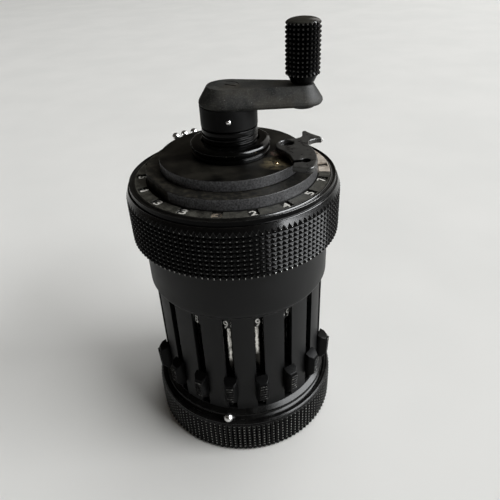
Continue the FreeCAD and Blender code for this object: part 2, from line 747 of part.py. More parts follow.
COUNTER_SPAN = (counter_place(COUNTER_DIALS) - PLACE_PITCH / 2, counter_place(1) + PLACE_PITCH / 2)


def carriage_cover():
    cover = turned([
        (RUN_R, COVER_PLATE_UNDER), (WALL_R[1], COVER_PLATE_UNDER), (WALL_R[1], COVER_UNDER),
        (RIM_IN_R, COVER_UNDER), (RIM_IN_R, RIM_TOP), (STEP_R, RIM_TOP), (STEP_R, STEP_TOP - 0.2),
        (STEP_R - 0.2, STEP_TOP), (RUN_R, STEP_TOP),
    ])
    window = block(WINDOW_W, *WINDOW, COVER_UNDER, RIM_TOP)
    cuts = [swung(window, result_place(n)) for n in range(1, RESULT_DIALS + 1)]
    counter_gap = annulus(RIM_IN_R + 0.1, STEP_R, COVER_UNDER, RIM_TOP)
    cuts.append(counter_gap.common(sector(*COUNTER_SPAN, COVER_UNDER, RIM_TOP)))
    flat_at = STEP_R * math.cos(math.radians(STEP_FLAT_HALF))
    flat = block(2 * STEP_R, flat_at, STEP_R + 1, RIM_TOP, STEP_TOP)
    cuts.append(swung(flat, STEP_FLAT_PLACE))
    return cover.cut(Part.makeCompound(cuts))


def counter_window_plate():
    plate = annulus(RIM_IN_R, STEP_R, COVER_UNDER, RIM_TOP)
    plate = plate.common(sector(*COUNTER_SPAN, COVER_UNDER, RIM_TOP))
    window = block(WINDOW_W, *WINDOW, COVER_UNDER, RIM_TOP)
    windows = [swung(window, counter_place(n)) for n in range(1, COUNTER_DIALS + 1)]
    return plate.cut(Part.makeCompound(windows))


def dial():
    """Number dial on a radial axle, with the gear at its inner end."""
    wheel = gear(DIAL_GEAR_R, DIAL_GEAR_ROOT_R, 0, DIAL_GEAR[1] - DIAL_GEAR[0])
    wheel.rotate(ORIGIN, V(1, 0, 0), 90)
    wheel.translate(V(0, -DIAL_GEAR[0], DIAL_Z))
    roller = spoke(DIAL_R, *DIAL, DIAL_Z)
    return spoke(DIAL_AXLE_R, *DIAL_AXLE, DIAL_Z).fuse([roller, wheel])


# Clearing disc and the lever that turns it
def clearing_disc():
    z0, z1 = DISC
    disc = turned([(RUN_R, z0), (DISC_R, z0), (DISC_R, z1 - DISC_EDGE), (DISC_R - DISC_EDGE, z1),
                   (RUN_R, z1)])
    disc = disc.cut(rod(RECESS_R, z1 - DISC_SINK, z1, *RECESS))
    return disc.cut(rod(LEVER_SCREW_R, z0 + DISC_SINK, z1, *LEVER_PIVOT))


def clearing_disc_pins():
    z0, z1 = DISC
    head_top = LEVER_SEAT_Z + LEVER_HEAD_T
    screw = rod(LEVER_SCREW_R, z0 + DISC_SINK, head_top, *LEVER_PIVOT)
    screw = screw.fuse(rod(LEVER_HEAD_R, LEVER_SEAT_Z + MAIN_GAP, head_top, *LEVER_PIVOT))
    stop_pin = rod(STOP_PIN_R, z1 - DISC_SINK, z1 + 0.1, *PIN_SPOT)
    return screw, stop_pin


def clearing_lever():
    """Flat lever with the broken-off forked stub of its finger ring."""
    z0, z1 = LEVER

    def at(x, y):
        return V(x, y, z0)

    pieces = [
        Part.Arc(at(10.75, -3.8), at(10.95, -0.1), at(13.3, 2.05)),
        Part.LineSegment(at(13.3, 2.05), at(15.5, 2.1)),
        Part.Arc(at(15.5, 2.1), at(17.0, 2.9), at(17.75, 4.3)),
        Part.LineSegment(at(17.75, 4.3), at(17.9, 6.3)),
        Part.Arc(at(17.9, 6.3), at(18.2, 7.0), at(18.9, 7.0)),
        Part.Arc(at(18.9, 7.0), at(20.2, 4.8), at(22.1, 2.6)),
        Part.LineSegment(at(22.1, 2.6), at(22.1, 1.35)),
        Part.Arc(at(22.1, 1.35), at(20.3, 1.2), at(18.9, 0.0)),
        Part.LineSegment(at(18.9, 0.0), at(18.5, -2.5)),
        Part.Arc(at(18.5, -2.5), at(19.5, -8.4), at(18.3, -14.6)),
        Part.Arc(at(18.3, -14.6), at(17.6, -15.6), at(16.4, -15.7)),
        Part.LineSegment(at(16.4, -15.7), at(13.3, -14.7)),
        Part.Arc(at(13.3, -14.7), at(12.9, -9.6), at(10.75, -3.8)),
    ]
    face = Part.Face(Part.Wire([piece.toShape() for piece in pieces]))
    lever = face.extrude(V(0, 0, z1 - z0))
    lever = lever.cut(rod(LEVER_SCREW_R + 0.07, z0, z1, *LEVER_PIVOT))
    lever = lever.cut(rod(LEVER_HEAD_R + 0.1, LEVER_SEAT_Z, z1, *LEVER_PIVOT))
    lever = lever.cut(rod(LEVER_HOLE_R, z0, z1, *LEVER_HOLE))
    length, width, depth = LEVER_MARK
    mark = Part.makeBox(length, width, depth, V(-length, -width / 2, z1 - depth))
    mark.rotate(ORIGIN, UP, LEVER_MARK_TURN)
    mark.translate(V(*LEVER_HOLE, 0))
    return lever.cut(mark)


# Decimal markers and reversing lever
def top_marker(place):
    stem = rod(MARKER_STEM_R, RIM_TOP - RIM_GROOVE_DEPTH + 0.1, TOP_MARKER_Z, 0, -RIM_GROOVE_R)
    foot = Part.makeCone(*MARKER_FOOT, V(0, -RIM_GROOVE_R, RIM_TOP + MARKER_GAP))
    bead = Part.makeSphere(TOP_MARKER_R, V(0, -RIM_GROOVE_R, TOP_MARKER_Z))
    return swung(stem.fuse([foot, bead]), place)


def base_marker():
    out, up = ledge_normal()
    centre = V(0, -BASE_MARKER_RING_R, BASE_MARKER_Z)
    stem = Part.makeCylinder(BASE_STEM_R, BASE_STEM, centre, V(0, out, -up))
    return swung(stem.fuse(Part.makeSphere(MARKER_R, centre)), BASE_MARKER_PLACE)


def reversing_lever():
    near, far = REVERSER_KNOB_R
    knob = block(REVERSER_KNOB_W, near, far, *REVERSER_KNOB)
    for i in range(3):
        z = REVERSER_NOTCH_FROM + i * REVERSER_NOTCH_PITCH
        knob = knob.cut(block(REVERSER_KNOB_W, far - 0.4, far, z, z + REVERSER_NOTCH_W))
    neck = block(REVERSER_NECK_W, BARREL_IN_R - 0.6, near + 0.1, *REVERSER_NECK)
    plate = block(REVERSER_PLATE_W, BARREL_IN_R - 1.2, BARREL_IN_R - 0.5, *REVERSER_PLATE)
    return swung(knob.fuse([neck, plate]), REVERSER_PLACE)


os.makedirs("parts", exist_ok=True)

save("base_cover", base_cover())
save("base_knurled_ring", base_ring())
save("marker_track_ring", marker_track())
save("barrel_housing", barrel())
save("lower_bearing_plate", lower_plate())
save("upper_bearing_plate", upper_plate())
save("frame_pillars", *pillars_and_screws())
save("central_tube", centre_tube(), grooved_nut())
save("transmission_axles", *transmission_axles())

save("main_shaft", main_shaft())
save("step_drum", step_drum())
save("tens_bell", tens_bell())
save("crank_hub", crank_hub(), cross_pin())
save("crank_arm", crank_arm(), arm_screw(), knob_spindle())
save("crank_knob", crank_knob())

save("carriage_sleeve", carriage_sleeve(), sleeve_collar())
save("carriage_knurled_ring", carriage_ring())
save("carriage_frame", carriage_frame())
save("carriage_cover", carriage_cover())
save("counter_window_plate", counter_window_plate())
save("clearing_disc", clearing_disc(), *clearing_disc_pins())
save("clearing_lever", clearing_lever())

save("base_decimal_marker", base_marker())
for number, place in enumerate(TOP_MARKER_PLACES, 1):
    save("top_decimal_marker_%d" % number, top_marker(place))
save("reversing_lever", reversing_lever())

shaft = setting_shaft()
carrier = slider()
pinion = sliding_pinion()
for number, place in enumerate(slider_places, 1):
    save("setting_shaft_%d" % number, swung(shaft, place))
    save("setting_slider_%d" % number, swung(carrier, place), swung(pinion, place))

front_dial = dial()
for number in range(1, RESULT_DIALS + 1):
    save("result_dial_%02d" % number, swung(front_dial, result_place(number)))
for number in range(1, COUNTER_DIALS + 1):
    save("counter_dial_%d" % number, swung(front_dial, counter_place(number)))
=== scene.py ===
import cmath
import math

import bmesh
import bpy
from mathutils import Matrix, Vector


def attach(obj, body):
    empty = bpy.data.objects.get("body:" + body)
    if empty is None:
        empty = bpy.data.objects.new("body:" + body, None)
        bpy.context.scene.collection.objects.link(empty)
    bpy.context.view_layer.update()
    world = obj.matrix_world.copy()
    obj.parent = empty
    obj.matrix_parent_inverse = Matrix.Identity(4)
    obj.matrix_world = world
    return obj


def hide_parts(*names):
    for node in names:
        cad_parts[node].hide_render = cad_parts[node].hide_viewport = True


# A hand-cranked pocket calculator: black barrel with setting sliders, knurled base and carriage,
# number dials, clearing lever and crank. Sizes are millimetres until a piece is made.
# A place round the barrel is an angle in degrees from the front (-Y), positive to the right (+X).

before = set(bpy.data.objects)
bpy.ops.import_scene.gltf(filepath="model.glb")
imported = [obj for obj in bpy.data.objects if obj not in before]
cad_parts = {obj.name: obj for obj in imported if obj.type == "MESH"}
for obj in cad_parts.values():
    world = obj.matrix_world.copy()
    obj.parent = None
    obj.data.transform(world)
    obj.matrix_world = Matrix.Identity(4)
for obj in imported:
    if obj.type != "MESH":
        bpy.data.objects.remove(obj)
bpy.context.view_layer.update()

MM = 0.001
PLACE_PITCH = 20.0
BLANK_PLACE = -148.4
RESULT_DIALS = 11
COUNTER_DIALS = 6
SLIDERS = 8
UNITS_PLACE = BLANK_PLACE + RESULT_DIALS * PLACE_PITCH
COUNTER_UNITS_PLACE = UNITS_PLACE + COUNTER_DIALS * PLACE_PITCH
ROUND = 120
GRID_STEP = 2.0
MERGE = 0.002

# Base and barrel
BASE_R = 26.35
BASE_TOP = 10.45
COVER_R = 24.5
COVER_T = 1.6
BASE_ROWS = (0.75, 9.85)
BASE_GROOVES = (0.5, 0.24)
BASE_LIP = (26.05, BASE_TOP)
TRACK_STEP = (25.4, 9.3)
TRACK_FOOT = 10.55
TRACK_OUT_R = 26.0
TRACK_TOP = 13.65
BARREL_R = 22.9
BARREL_IN_R = 21.9
BAND_R = 23.85
BAND_FROM = 47.0
SLOT = (13.9, 45.6)
SLOT_HALF = 3.0
BARREL_TOP = 59.9
REVERSER_SLOT = (47.9, 53.95)
REVERSER_PLACE = 171.6
MARKER_R = 1.2
MARKER_RING = (25.29, 12.64)
CHANNEL_R = 1.28
LEDGE_EDGE = (25.86, 11.18)
MARKER_PLACE = -10.9
STEM_R = 0.28
STEM_SLOPE = (0.64, 0.77)
STEM_SLOT_HALF = 0.36
STEM_SLOT_DEPTH = 1.9

# Setting shafts and sliders
SHAFT_RING_R = 18.7
ROLLER_R = 2.85
ROLLER_MIDDLE = 42.9
ROLLER_ENDS = (41.45, 46.8)
DIGIT_TURN = 36.0
ROLLER_TURNS = (0.0, 30.0, 20.0, 0.7, -8.6, -52.8, -28.0, 0.0)
# Painted glints on two shafts seen through their slots: the middle of each across, and the height where
# it starts
PAINTED_GLINT_STRIPS = {4: (3.91, 33.0), 5: (-3.08, 31.0)}
RIDGES = 6
RIDGE_FOOT = 19.35
RIDGE_PITCH = 0.93
RIDGE_R = 25.42
RIDGE_LEAN = 0.04
AXLE_RING_R = 13.2

# Carriage
CARRIAGE_ROWS = (60.4, 71.05)
CARRIAGE_GROOVES = (0.38, 0.38)
CARRIAGE_LIP = (25.84, 72.82)
CARRIAGE_R = 26.5
CARRIAGE_BOTTOM = 60.1
CARRIAGE_IN_R = 24.5
RIM_R = 25.35
RIM_TOP = 74.2
RIM_IN_R = 23.9
RIM_GROOVE_R = 24.65
COVER_UNDER = 73.95
STEP_R = 20.9
STEP_TOP = 76.9
STEP_FLAT_PLACE = -58.5
STEP_FLAT_HALF = 16.5
BORE_R = 8.28
WINDOW = (21.2, 23.6)
WINDOW_HALF = 1.2
COUNTER_PLATE = (23.9, 74.4)
DIAL_R = 3.4
DIAL_Z = 70.5
DIGIT_MIDDLE_R = 22.15
TOP_MARKER_PLACES = (-141.1, -147.4, -154.1)
TOP_MARKER_Z = 76.8

# Digits: height, width and weight of their strokes, relief, depth of their backs in the dial, width
# of the strips that bend them, and a 1's share of the width
RESULT_DIGIT = (2.05, 1.7, 0.012)
COUNTER_DIGIT = (2.05, 1.65, 0.02)
ROLLER_DIGIT = (2.45, 1.2, 0.014)
DIGIT_T = 0.05
DIGIT_SINK = 0.02
DIGIT_STRIP = 0.22
ONE_WIDTH = 0.45
SHOWN_RESULT = (7, 5, 4, 2, 3, 3, 3, 1, 5, 7, 0)
WORN_DIAL = 5

# Sleeve, clearing disc and lever
DISC_R = 17.4
DISC = (77.0, 79.5)
LEVER = (79.7, 81.0)
LEVER_PIVOT = (13.4, -0.5)
LEVER_HOLE = (16.63, -11.56)
LEVER_HOLE_R = 1.05
LEVER_MARK_TURN = 11.6
LEVER_MARK_W = 1.35
LEVER_MARK_L = 3.0
PAD_SPOT = (10.9, -3.0)
LEVER_PRONG = (22.0, 2.02)
RECESS = (12.0, -7.2)
RECESS_R = 2.9
PIN_SPOT = (10.3, -8.8)

# Crank
NECK_R = 6.6
NECK_IN_R = 5.2
NECK_TOP = 85.95
NECK_GROOVES = (81.6, 82.6, 83.6, 84.6)
HUB_R = 6.7
HUB = (86.2, 91.0)
CROSS_PIN_Z = 88.5
ARM_HUB_R = 6.75
ARM_KNOB_R = 4.6
ARM_TOP = 95.2
SCREW_HEAD_R = 2.6
SCREW_SEAT = 94.3
SCREW_TURN = -35.0
KNOB_AT = (16.8, -2.0)
KNOB_R = 3.85
KNOB = (95.45, 108.7)
KNOB_ROWS = (97.55, 107.65)
KNOB_GROOVES = (0.45, 0.42)
KNOB_LIP = (3.5, 108.05)

# Room: pale floor and backdrop, dim surroundings and a window at the right. A light's numbers are
# its place, rise, distance, width and height in metres, power and colour
ROOM_R = 3.0
ROOM_GLOW = 0.05
ROOM_COLOUR = (1.0, 0.9, 0.76)
WINDOW_LIGHT = (75.0, 28.0, 4.0, 4.3, 3.2, 1080.0, (0.965, 0.985, 1.0))
BACK_LIGHT = (134.0, 20.0, 4.0, 4.4, 2.6, 32.0, (1.0, 0.97, 0.93))
SUN_SIDE_LIGHT = (70.0, 37.0, 4.0, 3.1, 1.15, 129.0, (1.0, 1.0, 0.99))
CEILING_LIGHT = (125.0, 62.0, 4.0, 4.6, 3.7, 108.0, (1.0, 1.0, 0.99))
PAPER_SEEN_R = 0.42

# Camera, fitted to the photograph
IMAGE = 500.0
FOCAL_PX = 500.0
SENSOR = 36.0
CAMERA_PITCH = 0.576
CAMERA_ROLL = -0.05
CAMERA_AT = (3.355, -114.54, 124.97)


def ring_point(r, place, z=None):
    a = math.radians(place)
    flat = (r * math.sin(a), -r * math.cos(a))
    return flat if z is None else flat + (z,)


def result_place(number):
    return UNITS_PLACE - (number - 1) * PLACE_PITCH


def counter_place(number):
    return COUNTER_UNITS_PLACE - (number - 1) * PLACE_PITCH


# Shapes

def turns(count):
    """Angles of a full turn in equal steps."""
    return [2 * math.pi * k / count for k in range(count)]


def circle(x, y, r, count):
    return [(x + r * math.cos(a), y + r * math.sin(a)) for a in turns(count)]


def level(points, z):
    return [(x, y, z) for x, y in points]


class Form:
    """Points and faces of one piece in millimetres, with the number of each face's finish."""

    def __init__(self):
        self.points = []
        self.faces = []
        self.finish = []

    def add(self, points, faces, finish=0):
        start = len(self.points)
        self.points += [tuple(p) for p in points]
        self.faces += [tuple(i + start for i in face) for face in faces]
        self.finish += [finish] * len(faces)
        return self

    def loops(self, loops, finish=0, closed=False, capped=True):
        """Skin over closed loops of equal length; closed joins the last loop to the first."""
        count = len(loops[0])
        points = [p for loop in loops for p in loop]
        faces = []
        for i in range(len(loops) if closed else len(loops) - 1):
            a, b = i * count, (i + 1) % len(loops) * count
            for j in range(count):
                k = (j + 1) % count
                faces.append((a + j, a + k, b + k, b + j))
        if capped and not closed:
            faces.append(tuple(range(count))[::-1])
            faces.append(tuple(range((len(loops) - 1) * count, len(loops) * count)))
        return self.add(points, faces, finish)

    def lathe(self, profile, segments=ROUND, finish=0, at=(0, 0), closed=True):
        """Solid of revolution from a closed outline of (radius, height) corners."""
        turn = 360.0 / segments
        loops = []
        for r, z in profile:
            ring = [ring_point(max(r, 0), j * turn) for j in range(segments)]
            loops.append([(x + at[0], y + at[1], z) for x, y in ring])
        return self.loops(loops, finish, closed, capped=False)

    def prism(self, outline, z0, z1):
        return self.loops([level(outline, z) for z in (z0, z1)])

    def box(self, width, start, end, z0, z1):
        """Block at the front, between two distances from the axis."""
        h = width / 2
        return self.prism([(-h, -end), (h, -end), (h, -start), (-h, -start)], z0, z1)

    def wedge(self, back, front, finish=0):
        """Block between two upright rectangles of (half width, distance, low end, high end)."""
        return self.loops([[(-w, -r, low), (w, -r, low), (w, -r, high), (-w, -r, high)]
                           for w, r, low, high in (back, front)], finish)

    def pin(self, rings, z, count, side=1):
        """Level pin at the front, or at the back for side -1, from rings of (radius, distance)."""
        return self.loops([[(r * math.cos(a), side * -y, z + r * math.sin(a)) for a in turns(count)]
                           for r, y in rings])

    def swing(self, place):
        a = math.radians(place)
        c, s = math.cos(a), math.sin(a)
        self.points = [(x * c - y * s, x * s + y * c, z) for x, y, z in self.points]
        return self


def slot_cutter(start, end, half, degrees, at, z0, z1):
    """Upright block to cut a straight slot with, turned about the point from which it is measured."""
    c, s = math.cos(math.radians(degrees)), math.sin(math.radians(degrees))
    plan = [(start, -half), (end, -half), (end, half), (start, half)]
    return Form().prism([(x * c - y * s + at[0], x * s + y * c + at[1]) for x, y in plan], z0, z1)


def soften(corners, radius, steps=3):
    """Outline with its corners rounded; a third number on a corner is its own radius."""
    smooth = []
    count = len(corners)
    for i, corner in enumerate(corners):
        here = Vector(corner[:2])
        back = Vector(corners[i - 1][:2]) - here
        ahead = Vector(corners[(i + 1) % count][:2]) - here
        own = corner[2] if len(corner) > 2 else radius
        turn = math.pi - back.angle(ahead, math.pi)
        if own <= 0 or turn < 0.05:
            smooth.append(tuple(here))
            continue
        cut = min(own * math.tan(turn / 2), 0.45 * min(back.length, ahead.length))
        first = here + back.normalized() * cut
        last = here + ahead.normalized() * cut
        for k in range(steps + 1):
            t = k / steps
            smooth.append(tuple(first * (1 - t) ** 2 + here * 2 * t * (1 - t) + last * t ** 2))
    return smooth


def add_object(name, data):
    """Object of a mesh, curve, light or camera, linked to the scene."""
    made = bpy.data.objects.new(name, data)
    bpy.context.scene.collection.objects.link(made)
    return made


def drawn_mesh(curve):
    """Mesh of a curve or a text."""
    drawn = add_object(curve.name + "_outline", curve)
    mesh = bpy.data.meshes.new_from_object(drawn)
    bpy.data.objects.remove(drawn)
    return mesh


def taken(bm):
    """Points and faces of a mesh, which is freed."""
    bm.verts.index_update()
    points = [tuple(v.co) for v in bm.verts]
    faces = [tuple(v.index for v in f.verts) for f in bm.faces]
    bm.free()
    return points, faces


def shade(bm, sharp):
    """Smooth faces, with every edge sharper than an angle marked."""
    limit = math.radians(sharp)
    for face in bm.faces:
        face.smooth = True
    for edge in bm.edges:
        edge.smooth = len(edge.link_faces) == 2 and edge.calc_face_angle(0) <= limit


def make(name, form, finishes, bevel=0.0, bevel_from=40.0, sharp=30.0):
    """One object from a form, in metres: points that coincide are joined, faces turned outward,
    sharp edges rounded by a bevel and the rest marked."""
    bm = bmesh.new()
    points = [bm.verts.new(p) for p in form.points]
    for indices, finish in zip(form.faces, form.finish):
        corners = []
        for i in indices:
            if points[i] not in corners:
                corners.append(points[i])
        if len(corners) > 2:
            bm.faces.new(corners).material_index = finish
    bmesh.ops.remove_doubles(bm, verts=bm.verts, dist=MERGE)
    bmesh.ops.recalc_face_normals(bm, faces=bm.faces)
    if bevel:
        limit = math.radians(bevel_from)
        edges = [e for e in bm.edges if len(e.link_faces) == 2 and e.calc_face_angle(0) > limit]
        bmesh.ops.bevel(bm, geom=edges, offset=bevel, segments=2, profile=0.5,
                        affect="EDGES", clamp_overlap=True)
    shade(bm, sharp)
    bmesh.ops.scale(bm, vec=(MM, MM, MM), verts=bm.verts)
    mesh = bpy.data.meshes.new(name)
    bm.to_mesh(mesh)
    bm.free()
    for finish in finishes:
        mesh.materials.append(finish)
    return add_object(name, mesh)


def resharpen(mesh, sharp, join=0.0):
    """Marks a mesh's sharp edges anew, after joining points closer than join."""
    bm = bmesh.new()
    bm.from_mesh(mesh)
    if join:
        bmesh.ops.remove_doubles(bm, verts=bm.verts, dist=join)
        bmesh.ops.recalc_face_normals(bm, faces=bm.faces)
    shade(bm, sharp)
    bm.to_mesh(mesh)
    bm.free()


def carve(piece, cutter, sharp=30.0):
    """Cuts a form out of a piece; the cut faces take the piece's first finish."""
    tool = make("cutter", cutter, [piece.data.materials[0]], sharp=sharp)
    cut = piece.modifiers.new("cut", "BOOLEAN")
    cut.object = tool
    cut.operation = "DIFFERENCE"
    cut.solver = "EXACT"
    bpy.context.view_layer.update()
    shaped = piece.evaluated_get(bpy.context.evaluated_depsgraph_get())
    mesh = bpy.data.meshes.new_from_object(shaped)
    resharpen(mesh, sharp)
    piece.modifiers.clear()
    piece.data = mesh
    bpy.data.objects.remove(tool)


def place_piece(piece, body, slot, *nodes):
    """Gives a piece even shading and its body, and hides the nodes that it stands for; the slot is not
    used.
    """
    even = piece.modifiers.new("even", "WEIGHTED_NORMAL")
    even.keep_sharp = True
    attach(piece, body)
    if nodes:
        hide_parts(*nodes)


def add_piece(name, form, finishes, body, slot, *nodes, cutter=None, **shaping):
    """Makes a piece, cuts a form out of it if there is one, and places it."""
    piece = make(name, form, finishes, **shaping)
    if cutter:
        carve(piece, cutter)
    place_piece(piece, body, slot, *nodes)


def knurl(r, depths, columns, rows, ends, lip, flat=0.08):
    """Outer wall of pyramids with worn-flat tips, whose first and last rows are at the two ends.
    The depths are those of the upright and the level grooves; the upright ones run out in the cone
    above the top row, which ends at the lip. Gives the wall, its root radius and lower end."""
    form = Form()
    deep, shallow = depths
    bottom, top = ends
    lip_r, lip_z = lip
    half = 0.5 * shallow / deep
    pitch = (top - bottom) / (rows - 1)
    step = 360.0 / columns
    share = min(deep / (r - lip_r), 0.96)
    runout = (r + (lip_r - r) * share, top + (lip_z - top) * share)
    foot = bottom - 0.3 * pitch
    for j in range(columns):
        def at(u, row, depth):
            return ring_point(r - depth, (j + 0.5 + u) * step, bottom + row * pitch)

        def groove(row):
            """Corners of a cell's edge: two in the upright grooves, two in the level one."""
            return [at(-0.5, row, deep), at(-half, row, shallow), at(half, row, shallow),
                    at(0.5, row, deep)]

        for i in range(1, rows - 1):
            form.add(groove(i - 0.5) + groove(i + 0.5)
                     + [at(-flat, i - flat, 0), at(flat, i - flat, 0), at(flat, i + flat, 0),
                        at(-flat, i + flat, 0)],
                     [(1, 2, 9, 8), (2, 3, 7, 6, 10, 9), (6, 5, 11, 10), (5, 4, 0, 1, 8, 11),
                      (8, 9, 10, 11)])
        # top row, with the cone above it
        left, right = j * step, (j + 1) * step
        form.add(groove(rows - 1.5) + [at(0, rows - 1, 0.02)]
                 + [ring_point(x, place, z) for x, z in (runout, lip) for place in (left, right)],
                 [(1, 2, 4), (2, 3, 4), (3, 6, 4), (4, 6, 8, 7, 5), (0, 1, 4), (5, 0, 4)])
        # bottom row, cut off square under its tips
        form.add(groove(0.5) + [at(0, 0, 0.02), ring_point(r - deep, left, foot), at(0, -0.3, 0.02),
                                ring_point(r - deep, right, foot)],
                 [(2, 1, 4), (1, 0, 4), (3, 2, 4), (0, 5, 6, 4), (4, 6, 7, 3), (7, 6, 5)])
    return form, r - deep, foot


def pierced(front, back, angles, hole, round_trip=True):
    """Thick skin with holes: front and back are matching rows of (radius, height), an angle is a
    place, degrees off it and millimetres across from there, and hole(i, j) says whether the cell
    between rows i, i+1 and angles j, j+1 is open."""
    form = Form()
    rows, count = len(front), len(angles)
    cells = count if round_trip else count - 1

    def spot(side, i, j):
        r, z = side[i]
        place, off, across = angles[j % count]
        return ring_point(r, place + off + math.degrees(math.asin(across / r)), z)

    def solid(i, j):
        if not 0 <= i < rows - 1:
            return False
        if not round_trip and not 0 <= j < cells:
            return False
        return not hole(i, j % cells)

    for i in range(rows - 1):
        for j in range(cells):
            if not solid(i, j):
                continue
            corners = [spot(side, *cell) for side in (front, back)
                       for cell in ((i, j), (i, j + 1), (i + 1, j + 1), (i + 1, j))]
            faces = [(0, 1, 2, 3), (7, 6, 5, 4)]
            for side, (u, v) in (((i - 1, j), (0, 1)), ((i, j + 1), (1, 2)),
                                 ((i + 1, j), (2, 3)), ((i, j - 1), (3, 0))):
                if not solid(*side):
                    faces.append((u, u + 4, v + 4, v))
            form.add(corners, faces)
    return form


def arc(a, b, c, steps):
    """Points of the arc from a through b to c, without the last one."""
    a, b, c = complex(*a), complex(*b), complex(*c)
    w = (c - a) / (b - a)
    middle = a - (a - b) * (w - abs(w) ** 2) / 2j / w.imag
    passed, turn = [cmath.phase((p - middle) / (a - middle)) % (2 * math.pi) for p in (b, c)]
    if passed > turn:
        turn -= 2 * math.pi
    spots = [middle + (a - middle) * cmath.exp(1j * turn * k / steps) for k in range(steps)]
    return [(spot.real, spot.imag) for spot in spots]


def plate(name, outline, holes, z0, z1, bevel, finish):
    """Flat plate with rounded edges from an outline and its holes."""
    curve = bpy.data.curves.new(name, "CURVE")
    curve.dimensions = "2D"
    curve.fill_mode = "BOTH"
    curve.extrude = ((z1 - z0) / 2 - bevel) * MM
    curve.bevel_depth = bevel * MM
    curve.bevel_resolution = 2
    curve.offset = -bevel * MM
    for points in [outline] + holes:
        spline = curve.splines.new("POLY")
        spline.points.add(len(points) - 1)
        for target, (x, y) in zip(spline.points, points):
            target.co = (x * MM, y * MM, 0, 1)
        spline.use_cyclic_u = True
    mesh = drawn_mesh(curve)
    mesh.transform(Matrix.Translation((0, 0, (z0 + z1) / 2 * MM)))
    mesh.materials.clear()
    mesh.materials.append(finish)
    resharpen(mesh, 35.0, MERGE * MM)
    return add_object(name, mesh)


# Digits

def digit_mesh(digit, height, width, weight):
    """One digit, flat and centred, as points and faces in millimetres, cut in upright strips."""
    curve = bpy.data.curves.new("digit", "FONT")
    curve.body = str(digit)
    curve.size = 1.0
    curve.resolution_u = 4
    curve.offset = weight
    bm = bmesh.new()
    bm.from_mesh(drawn_mesh(curve))
    bmesh.ops.remove_doubles(bm, verts=bm.verts, dist=0.001)
    for axis, size in ((0, width * (ONE_WIDTH if digit == 1 else 1.0)), (1, height)):
        values = [v.co[axis] for v in bm.verts]
        low, high = min(values), max(values)
        for v in bm.verts:
            v.co[axis] = (v.co[axis] - (high + low) / 2) * size / (high - low)
    x = -width / 2 + DIGIT_STRIP
    while x < width / 2:
        bmesh.ops.bisect_plane(bm, geom=bm.verts[:] + bm.edges[:] + bm.faces[:],
                               plane_co=(x, 0, 0), plane_no=(1, 0, 0), dist=0.0001)
        x += DIGIT_STRIP
    thickened = bmesh.ops.extrude_face_region(bm, geom=bm.faces[:])
    for item in thickened["geom"]:
        if isinstance(item, bmesh.types.BMVert):
            item.co.z += DIGIT_T
    bmesh.ops.recalc_face_normals(bm, faces=bm.faces)
    return taken(bm)


def digit_set(height, width, weight):
    return [digit_mesh(d, height, width, weight) for d in range(10)]


def roller_digits(digits, place, turn):
    """Digits round an upright number roller, 9 in front and 0 one turn on."""
    form = Form()
    cx, cy = ring_point(SHAFT_RING_R, place)
    for digit, (points, faces) in enumerate(digits):
        turned = place + turn + (9 - digit) * DIGIT_TURN
        moved = []
        for x, y, z in points:
            px, py = ring_point(ROLLER_R - DIGIT_SINK + z, turned + math.degrees(x / ROLLER_R))
            moved.append((cx + px, cy + py, ROLLER_MIDDLE + y))
        form.add(moved, faces)
    return form


def dial_digits(digits, place, shown):
    """Digits round a radial number dial, with the shown one on top."""
    form = Form()
    a = math.radians(place)
    out = Vector((math.sin(a), -math.cos(a), 0))
    side = Vector((math.cos(a), math.sin(a), 0))
    for digit, (points, faces) in enumerate(digits):
        first = (digit - shown) * math.radians(DIGIT_TURN)
        moved = []
        for x, y, z in points:
            r = DIAL_R - DIGIT_SINK + z
            angle = first + x / DIAL_R
            spot = out * (DIGIT_MIDDLE_R - y) + side * r * math.sin(angle)
            moved.append((spot.x, spot.y, DIAL_Z + r * math.cos(angle)))
        form.add(moved, faces)
    return form


# Finishes

